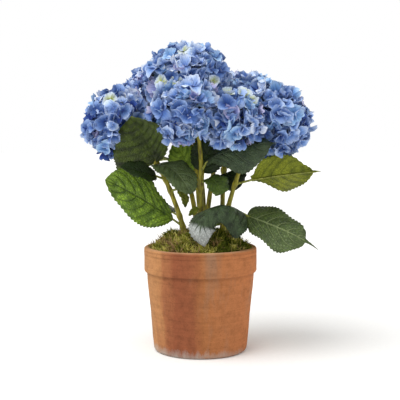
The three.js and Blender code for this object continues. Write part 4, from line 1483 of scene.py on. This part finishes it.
    def add_stalk(self, shape: BMesh) -> None:
        """Add the stalk, which runs on under the blade as its midrib.

        Args:
            shape: the blade's bmesh, which takes it.
        """
        shares = np.concatenate((np.linspace(-1, 0, self.stalk_steps, endpoint=False),
                                 np.linspace(0, self.rib_end, self.rib_steps)))
        rib = self.midrib(shares)
        slim = np.interp(shares, *zip(*self.slimming)) * self.stalk_radius
        sunk = slim * np.interp(shares, *zip(*self.rib_sinks)) + self.thickness / 2
        radii = np.repeat(slim[:, None], self.stalk_sides, axis=1)
        for face in add_tube(shape, rib.points - rib.up * sunk[:, None], radii, (STALK_CELL, 1 - STALK_CELL)):
            face.material_index = 2

    def shape_blade(self, shape: BMesh, rows: int) -> None:
        """Move a flat grid's points onto the blade: outline, teeth, fold, waves and quilting.

        Args:
            shape: the flat grid, from -1 to 1 both ways.
            rows: its faces along the blade.
        """
        shares = np.linspace(0, 1, rows + 1)
        rib = self.midrib(shares)
        near_halves, far_halves = (
            np.maximum(self.half_width(shares) * self.swelling(shares, swells), self.least_half)
            for swells in (self.row.near, self.row.far)
        )
        phase = sum(self.row.tip) / self.wave_spread
        tip_tooth, tip_share = self.tooth_end
        for vertex in shape.verts:
            row = round((vertex.co.y + 1) / 2 * rows)
            x, share = vertex.co.x, shares[row]
            half = near_halves[row] if x < 0 else far_halves[row]
            aside = abs(x)
            rough = self.tooth * (row % self.rows_each_tooth) / (self.rows_each_tooth - 1)
            rough *= min(1.0, share / self.tooth_start, half / self.tooth_half,
                         tip_tooth + (1 - share) / tip_share) * aside**self.tooth_reach
            vein = (share - VEIN_SLANT * aside**VEIN_BOW) * VEIN_PAIRS
            pillow = (abs(math.sin(math.pi * vein)) ** self.quilt_round * (1 - aside**self.quilt_fade)
                      * min(1.0, aside / self.quilt_start))
            swing = FULL_TURN * self.waves * share + phase + (self.wave_shift if x > 0 else 0)
            margin = math.sin(swing) * aside**self.wave_reach
            full = min(1.0, half / self.full_half)
            lift = (self.row.fold * half * aside**self.fold_round
                    + full * (self.quilt * pillow + self.wave * margin))
            across = rib.across[row] * (x * half + math.copysign(rough, x))
            slip = rib.onward[row] * (self.row.skew * x * half)
            vertex.co = Vector(rib.points[row] + across + slip + rib.up[row] * lift)


@dataclass
class Floret:
    """One floret's place on its head: its eye, the way it faces, its spin, its size and its dye."""

    eye: np.ndarray
    facing: np.ndarray
    spin: float
    size: float
    dye: Dye


@dataclass
class FloretShape:
    """The four cupped petals of a floret of size 1, no two alike; each range is drawn from by chance."""

    petals: int = 4
    openings: Pair = (0.2, 1.1)  # rise of all four, in radians
    rises: Pair = (-0.25, 0.25)  # of one over that
    overlap: float = 0.14  # and of every other one
    strays: Pair = (-0.2, 0.2)  # of a petal from its quarter, in radians
    lengths: Pair = (0.82, 1.08)
    widths: Pair = (0.9, 1.18)
    curls: Pair = (-1.0, 0.4)  # from heart to edge, in radians
    cups: Pair = (0.05, 0.6)  # how far the sides rise, for each unit of width
    creases: Pair = (0.0, 0.45)  # how far the middle sinks
    ripples: Pair = (0.03, 0.12)
    ripple_waves: Place = (4.6, 5, 6.3)  # across a petal, along it and in where they start, in radians
    claw: float = 0.04  # where a petal starts, from the floret's middle
    outline: Place = (0.04, 0.76, 0.7)  # start, run and fullness of its rounded outline
    corners: float = 0.26  # how far the corners of its edge are cut back
    template: tuple[np.ndarray, np.ndarray] = field(default_factory=lambda: sheet_template(*PETAL_FACES))

    def faces(self) -> np.ndarray:
        """The corners of a floret's faces, petal after petal."""
        return copied_faces(self.template[1], self.petals, len(self.template[0]))

    def points(self, random: np.random.Generator) -> np.ndarray:
        """The four petals of one floret, round the Z axis.

        Args:
            random: the head's own source of numbers.

        Returns:
            Their points, petal after petal.
        """
        across, along = self.template[0].T
        start, run, fullness = self.outline
        wave_across, wave_along, wave_start = self.ripple_waves
        opening = random.uniform(*self.openings)
        made = []
        for petal in range(self.petals):
            length = random.uniform(*self.lengths)
            width = random.uniform(*self.widths)
            rise = opening + random.uniform(*self.rises) + (self.overlap if petal % 2 else 0)
            curl = random.uniform(*self.curls)
            cup = random.uniform(*self.cups)
            crease = random.uniform(*self.creases)
            ripple = random.uniform(*self.ripples)
            half = 0.5 * width * np.sin(math.pi * (start + run * along)) ** fullness
            reach = self.claw + (1 - self.claw) * along * (1 - self.corners * across**2 * along**2)
            bent = rise + curl * along
            x = across * half
            y = length * reach * np.cos(bent)
            z = length * reach * np.sin(bent) + (cup * across**2 - crease * (1 - np.abs(across))) * half
            swing = wave_across * across + wave_along * along + wave_start * random.random()
            z = z + ripple * np.sin(swing) * along
            angle = FULL_TURN * petal / self.petals + random.uniform(*self.strays)
            made.append(np.column_stack((x * math.cos(angle) - y * math.sin(angle),
                                         x * math.sin(angle) + y * math.cos(angle), z)))
        return np.concatenate(made)


@dataclass
class FlowerHead:
    """A mophead: florets of four cupped petals spread round it by the golden angle, each on its stalk."""

    shoot: Shoot
    stem: Stem
    shape: FloretShape = field(default_factory=FloretShape)
    flatness: float = 0.9
    layers: tuple[Place, ...] = (
        (10.5, 0.0033, 1.0), (21, 0.0023, 0.95),
    )  # from outside in: setback in millimetres, florets to a square millimetre and their size
    depth: float = 9  # how much deeper some florets of a layer sit, in millimetres
    crossing: float = 5 * MM  # how far a floret may reach between those of a neighbouring head
    crossing_slack: float = 0.1 * MM
    floret_radius: float = 17 * MM
    floret_sizes: Pair = (0.62, 1.15)
    tilt: float = 1.5  # how far a floret may lean out of true
    sizes: tuple[float, ...] = (1.0, 0.82, 0.66)  # tried in turn where a leaf or a stem is in the way
    slide: float = 22 * MM  # how far a floret may give way to a neighbouring head
    clear_stalk: float = 0.6  # share of the way to the head's middle that has to be free for its stalk
    eye_radius: float = 1.0 * MM
    eye_lift: float = 1.1  # how far the eye stands up, in its radius
    eye_sizes: Pair = (0.8, 0.4)  # an eye's size, and how much it grows with its floret's
    stalk_radius: float = 1.0 * MM
    stalk_taper: Pair = (1.3, 0.7)  # from the stem to the floret
    stalk_root: float = 2 * MM  # how far under the stem's tip the stalks spring
    stalk_gap: float = 0.5 * MM  # how far under its eye a stalk ends
    stalk_knee: float = 0.3  # where it bends, as a share of the way from the head's middle
    stalk_rings: int = 6
    stalk_chart: tuple[float, ...] = (0.0, 0.33, 0.67, 1.0)  # where its four sides lie across the UV map
    lit_high_odds: tuple[float, ...] = (0.2, 0.03, 0.2, 0.36, 0.16, 0.05, 0.0, 0.0)  # of each dye, high up, where lighter dyes stand for painted light
    shaded_low_odds: tuple[float, ...] = (0.3, 0.48, 0.08, 0.03, 0.02, 0.03, 0.0, 0.06)  # and low down, where darker dyes stand for painted shade
    inner_lit_odds: tuple[float, ...] = (0.5, 0.3, 0.2, 0.0, 0.0, 0.0, 0.0, 0.0)  # the same, inner layer, darker as painted shade
    inner_shaded_odds: tuple[float, ...] = (0.04, 0.3, 0.0, 0.0, 0.0, 0.0, 0.0, 0.66)
    cream_near: tuple[Pair, ...] = (
        (-125, 368), (-15, 426), (-52, 441), (-52, 394), (-33, 393), (17, 393), (36, 368), (55, 372),
        (72, 360),
    )  # where cream florets show from the front: right of the pot's axis and over the ground, in millimetres
    cream_reach: float = 12 * MM
    cream_size: float = 0.8  # of a cream floret against the others
    cream_stand: float = 5 * MM  # how far a cream floret stands out of its head
    front: Place = (0, -1, 0.2)  # the way that the cream florets turn
    mid_light: float = 0.2  # how much painted light the florets get at mid_height, from 0 to 1
    mid_height: float = 365 * MM
    fade_height: float = 330 * MM  # the painted light goes from darkest to lightest over this height
    top_light: float = 0.6  # how much lighter, as painted light from above, those on the top of a head are

    def walls(self) -> list[tuple[np.ndarray, float]]:
        """The walls between this head and its neighbours.

        Returns:
            For each, the way out of this head's own space and how far along it the wall lies.
        """
        heart = np.array(self.shoot.heart)
        made = []
        for other in SHOOTS:
            if other is not self.shoot:
                way = np.array(other.heart) - heart
                apart = np.linalg.norm(way)
                reach = (apart**2 + (self.shoot.radius * MM) ** 2 - (other.radius * MM) ** 2) / (2 * apart)
                made.append((way / apart, float(np.dot(way / apart, heart)) + reach))
        return made

    def places(self, random: np.random.Generator) -> list[Floret]:
        """Where the florets sit, layer by layer, spread by the golden angle and turned at random.

        Args:
            random: the head's own source of numbers.

        Returns:
            The florets, outermost layer first.
        """
        upright = basis(np.array(self.shoot.axis), 0.0)
        stretch = np.array((1, 1, self.flatness))
        heart = np.array(self.shoot.heart)
        found = []
        for layer, (setback, density, size) in enumerate(self.layers):
            span = 1 - math.cos(math.radians(self.shoot.cover))
            count = round(density * 2 * math.pi * span * self.shoot.radius**2)
            for i in range(count):
                fall = math.acos(1 - (i + 0.5) / count * span)
                turn = i * GOLDEN_ANGLE
                radial = np.array((math.sin(fall) * math.cos(turn), math.sin(fall) * math.sin(turn),
                                   math.cos(fall)))
                lean = random.uniform(-0.5, 0.5, 3) * self.tilt
                reach = (self.shoot.radius - setback - self.depth * random.random()) * MM
                eye = heart + (radial * stretch * reach) @ upright
                dye = self.dye_at(eye, layer, random)
                full = size * random.uniform(*self.floret_sizes)
                found.append(Floret(eye, unit(unit(radial / stretch) + lean) @ upright,
                                    FULL_TURN * random.random(), full, dye))
            if layer == 0:
                self.pick_cream(found)
        return found

    def dye_at(self, eye: np.ndarray, layer: int, random: np.random.Generator) -> Dye:
        """A floret's dye, dealt out by chance with painted light and shade: lighter high on the crown, darker
        low down, darkest in the inner layer.

        Args:
            eye: the floret's place.
            layer: the number of its layer, from the outermost.
            random: the head's own source of numbers.

        Returns:
            The dye.
        """
        way = unit(eye - np.array(self.shoot.heart))
        # painted light and shade: lighter dyes high up and facing up, darker ones low down
        light = self.mid_light + self.top_light * way[2] + (eye[2] - self.mid_height) / self.fade_height
        high = min(max(light, 0.0), 1.0)
        shaded_low_odds, lit_high_odds = ((self.inner_shaded_odds, self.inner_lit_odds) if layer
                               else (self.shaded_low_odds, self.lit_high_odds))
        odds = np.array(shaded_low_odds) * (1 - high) + np.array(lit_high_odds) * high
        return list(Dye)[random.choice(len(Dye), p=odds)]

    def pick_cream(self, florets: list[Floret]) -> None:
        """Turn the florets that lie nearest to the photograph's cream ones into small cream ones.

        Args:
            florets: the head's outer florets, changed in place.
        """
        front = [floret for floret in florets if floret.eye[1] < self.shoot.heart.y]
        for x, z in self.cream_near:
            nearest = min(front, key=lambda floret: math.dist(floret.eye[[0, 2]], (x * MM, z * MM)))
            if math.dist(nearest.eye[[0, 2]], (x * MM, z * MM)) < self.cream_reach:
                nearest.dye = Dye.CREAM
                nearest.size = self.cream_size
                nearest.facing = unit(nearest.facing + np.array(self.front))
                nearest.eye = nearest.eye + nearest.facing * self.cream_stand

    def seat(self, floret: Floret, bloom: np.ndarray, walls: list[tuple[np.ndarray, float]],
             obstacles: list[BVHTree]) -> tuple[np.ndarray, np.ndarray] | None:
        """Put a floret where it hardly crosses a wall, and neither it nor its stalk touches a leaf or a stem.

        Args:
            floret: its place.
            bloom: its petals, of size 1.
            walls: the walls between this head and its neighbours.
            obstacles: search trees of the leaves and stems.

        Returns:
            Its points and where its eye came to rest, or None where it finds no room.
        """
        axes = basis(floret.facing, floret.spin)
        corners = self.shape.faces().tolist()
        for share in self.sizes:
            eye = floret.eye.copy()
            points = bloom @ axes * (self.floret_radius * floret.size * share) + eye
            for normal, offset in walls * 2:  # twice, as giving way to one wall may push it over another
                over = max(float((points @ normal).max()) - offset - self.crossing, 0.0)
                points = points - normal * over
                eye = eye - normal * over
            crossed = any(float((points @ normal).max()) - offset > self.crossing + self.crossing_slack
                          for normal, offset in walls)
            if crossed or np.linalg.norm(eye - floret.eye) > self.slide:
                continue
            own = BVHTree.FromPolygons(points.tolist(), corners)
            inward = (np.array(self.shoot.heart) - eye) * self.clear_stalk
            reach = float(np.linalg.norm(inward))
            if not any(own.overlap(other) or other.ray_cast(Vector(eye), Vector(inward), reach)[0]
                       for other in obstacles):
                return points, eye
        return None

    def build(self, number: int, obstacles: list[BVHTree]) -> list[Object]:
        """Model the head's petals, eyes and stalks, each kind as one piece, and dress them.

        Args:
            number: the head's place in the crown, which sets its seed.
            obstacles: search trees of the leaves and stems.

        Returns:
            The three pieces.
        """
        random = np.random.default_rng(SEED + number)
        walls = self.walls()
        points, tints, seats = [], [], []
        for floret in self.places(random):
            seated = self.seat(floret, self.shape.points(random), walls, obstacles)
            if seated:
                points.append(seated[0])
                tints.append(floret.dye.value)
                seats.append((seated[1], floret))
        petals = self.petal_piece(np.array(points), np.array(tints))
        eyes = self.eye_piece(seats)
        stalks = self.stalk_piece(seats)
        node = f"bloom_{self.shoot.name}"
        for piece, slot in ((petals, "petal"), (eyes, "petal"), (stalks, "stem")):
            add_piece(piece, node)
        return [petals, eyes, stalks]

    def petal_piece(self, points: np.ndarray, tints: np.ndarray) -> Object:
        """All the petals of the head as one piece.

        Args:
            points: each floret's points.
            tints: each floret's dye number.

        Returns:
            The piece.
        """
        corners = self.shape.faces()
        count, size = points.shape[:2]
        across, along = np.tile(self.shape.template[0], (self.shape.petals, 1)).T
        cells = (tints[:, None] + 0.5 + PETAL_CELL * across[None]) / len(Dye)
        chart = np.stack((cells, np.broadcast_to(along, cells.shape)), axis=-1).reshape(-1, 2)
        name = f"petals_{self.shoot.name}"
        mesh = joined_mesh(name, points.reshape(-1, 3), copied_faces(corners, count, size), chart,
                           np.repeat(tints, len(corners)))
        return new_object(name, mesh, [PETALS[dye] for dye in Dye])

    def eye_piece(self, seats: list[tuple[np.ndarray, Floret]]) -> Object:
        """The little closed buds in the middle of the florets as one piece.

        Args:
            seats: where each floret's eye is, and the floret.

        Returns:
            The piece.
        """
        bud = bmesh.new()
        bmesh.ops.create_icosphere(bud, subdivisions=1, radius=self.eye_radius)
        bud.verts.index_update()
        round_points = np.array([vertex.co for vertex in bud.verts])
        corners = np.array([[vertex.index for vertex in face.verts] for face in bud.faces])
        bud.free()
        least, growth = self.eye_sizes
        points = np.concatenate([eye + floret.facing * self.eye_radius * self.eye_lift
                                 + round_points * (least + growth * floret.size) for eye, floret in seats])
        wide, high = round_points[:, 0] / self.eye_radius, (round_points[:, 2] / self.eye_radius + 1) / 2
        chart = np.tile(np.column_stack(((0.5 + PETAL_CELL * wide) / len(Dye), high)), (len(seats), 1))
        name = f"eyes_{self.shoot.name}"
        mesh = joined_mesh(name, points, copied_faces(corners, len(seats), len(round_points)), chart,
                           np.zeros(len(seats) * len(corners)))
        return new_object(name, mesh, [FLORET_EYE])

    def stalk_piece(self, seats: list[tuple[np.ndarray, Floret]]) -> Object:
        """The stalks that branch from the stem's tip to the florets as one piece.

        Args:
            seats: where each floret's eye is, and the floret.

        Returns:
            The piece.
        """
        tip = np.array(self.stem.tip) - np.array(self.shoot.axis) * self.stalk_root
        heart = np.array(self.shoot.heart)
        t = np.linspace(0, 1, self.stalk_rings)[:, None]
        radii = np.linspace(*self.stalk_taper, self.stalk_rings)[:, None, None] * self.stalk_radius
        points = []
        for eye, floret in seats:
            end = eye - floret.facing * self.stalk_gap
            knee = heart + (eye - heart) * self.stalk_knee
            spine = (1 - t) ** 2 * tip + 2 * t * (1 - t) * knee + t**2 * end
            first, second = carried_frames(spine)
            ring = np.stack((first, second, -first, -second), axis=1)
            points.append((spine[:, None] + radii * ring).reshape(-1, 3))
        sides = len(self.stalk_chart)
        size = sides * self.stalk_rings
        foot = np.arange(sides)
        after = np.roll(foot, -1)
        flanks = np.column_stack((foot, after, sides + after, sides + foot))
        skin = copied_faces(flanks, self.stalk_rings - 1, sides)
        corners = np.array([foot[::-1], *skin, size - sides + foot])
        chart = np.column_stack((np.tile(self.stalk_chart, self.stalk_rings), np.repeat(t[:, 0], sides)))
        name = f"stalks_{self.shoot.name}"
        mesh = joined_mesh(name, np.concatenate(points), copied_faces(corners, len(seats), size),
                           np.tile(chart, (len(seats), 1)), np.zeros(len(seats) * len(corners)))
        return new_object(name, mesh, [FLORET_STALK_IN_SHADE])


@dataclass
class Studio:
    """The floor, the light and the camera at the photograph's view."""

    floor_radius: float = 14.0
    floor_sides: int = 96
    camera_place: Place = (-0.7 * MM, -1250 * MM, 315 * MM)
    camera_aim: Place = (-0.7 * MM, 0, 221 * MM)
    focal_pixels: float = 853
    image_pixels: int = 400
    sensor: float = 36
    sky: float = 0.78  # light from all round
    key_way: Place = (0.5, 0.3, -0.95)  # the way that the main light falls
    key_power: float = 2.05
    key_breadth: float = math.radians(50)  # how much of the sky the main light's screen takes up

    def build(self) -> None:
        """Lay the floor, hang the lights and set up the camera."""
        self.lay_floor()
        self.light()
        self.aim_camera()

    def lay_floor(self) -> None:
        """A wide disc of backing paper under the pot."""
        shape = bmesh.new()
        bmesh.ops.create_circle(shape, cap_ends=True, segments=self.floor_sides, radius=self.floor_radius)
        floor = new_object("floor", mesh_from("floor", shape), [StudioPaper()])

    def light(self) -> None:
        """An even white surround that the camera sees as white, and one broad light from the front left."""
        scene = bpy.context.scene
        scene.view_settings.view_transform = "Standard"
        world = bpy.data.worlds.new("white_surround")
        world.use_nodes = True
        tree = world.node_tree
        seen = add_node(tree, "LightPath").outputs["Is Camera Ray"]
        strength = add_node(tree, "MapRange", {"Value": seen, "To Min": self.sky, "To Max": 1.0})
        fill(tree, tree.nodes["Background"], {"Strength": strength.outputs[0], "Color": (1, 1, 1, 1)})
        scene.world = world
        lamp = bpy.data.lights.new("key_screen", "SUN")
        lamp.energy, lamp.angle = self.key_power, self.key_breadth
        holder = bpy.data.objects.new(lamp.name, lamp)
        holder.rotation_euler = Vector(self.key_way).to_track_quat("-Z", "Y").to_euler()
        scene.collection.objects.link(holder)

    def aim_camera(self) -> None:
        """A camera at the photograph's place, with its view."""
        lens = bpy.data.cameras.new("camera")
        lens.sensor_width = self.sensor
        lens.lens = self.focal_pixels * self.sensor / self.image_pixels
        camera = bpy.data.objects.new("camera", lens)
        camera.location = self.camera_place
        way = Vector(self.camera_aim) - Vector(self.camera_place)
        camera.rotation_euler = way.to_track_quat("-Z", "Y").to_euler()
        bpy.context.scene.collection.objects.link(camera)
        bpy.context.scene.camera = camera


def grow_leaves(stems: dict[str, Stem]) -> list[Object]:
    """Grow every leaf from its stem, or from its twin's stalk.

    Args:
        stems: the stems by name.

    Returns:
        The leaves' pieces.
    """
    grown: dict[str, Leaf] = {}
    for row in LEAF_ROWS:
        start = Vector(stems[row.stem].line(np.array([row.at]))[0])
        if row.twin_of:
            start = grown[row.twin_of].fork()
        grown[row.name] = Leaf(row, start)
    return [leaf.build() for leaf in grown.values()]


def main() -> None:
    """Build the pot, moss and plant in order, report each piece and set up the studio."""
    logging.basicConfig(level=logging.INFO, format="%(name)s: %(message)s")
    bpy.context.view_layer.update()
    pieces = [TerracottaPot().build()]
    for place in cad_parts["soil"].material_slots:
        place.material = Peat().material()
    pieces += MossBed().build()
    stems = {shoot.name: Stem(shoot) for shoot in SHOOTS}
    limbs = [stem.build() for stem in stems.values()]
    limbs += grow_leaves(stems)
    pieces += limbs
    obstacles = [tree_of(limb.data) for limb in limbs]
    for number, shoot in enumerate(SHOOTS):
        pieces += FlowerHead(shoot, stems[shoot.name]).build(number, obstacles)
    for piece in pieces:
        LOG.info("%s: %d faces", piece.name, len(piece.data.polygons))
    Studio().build()


if __name__ == "__main__":
    main()
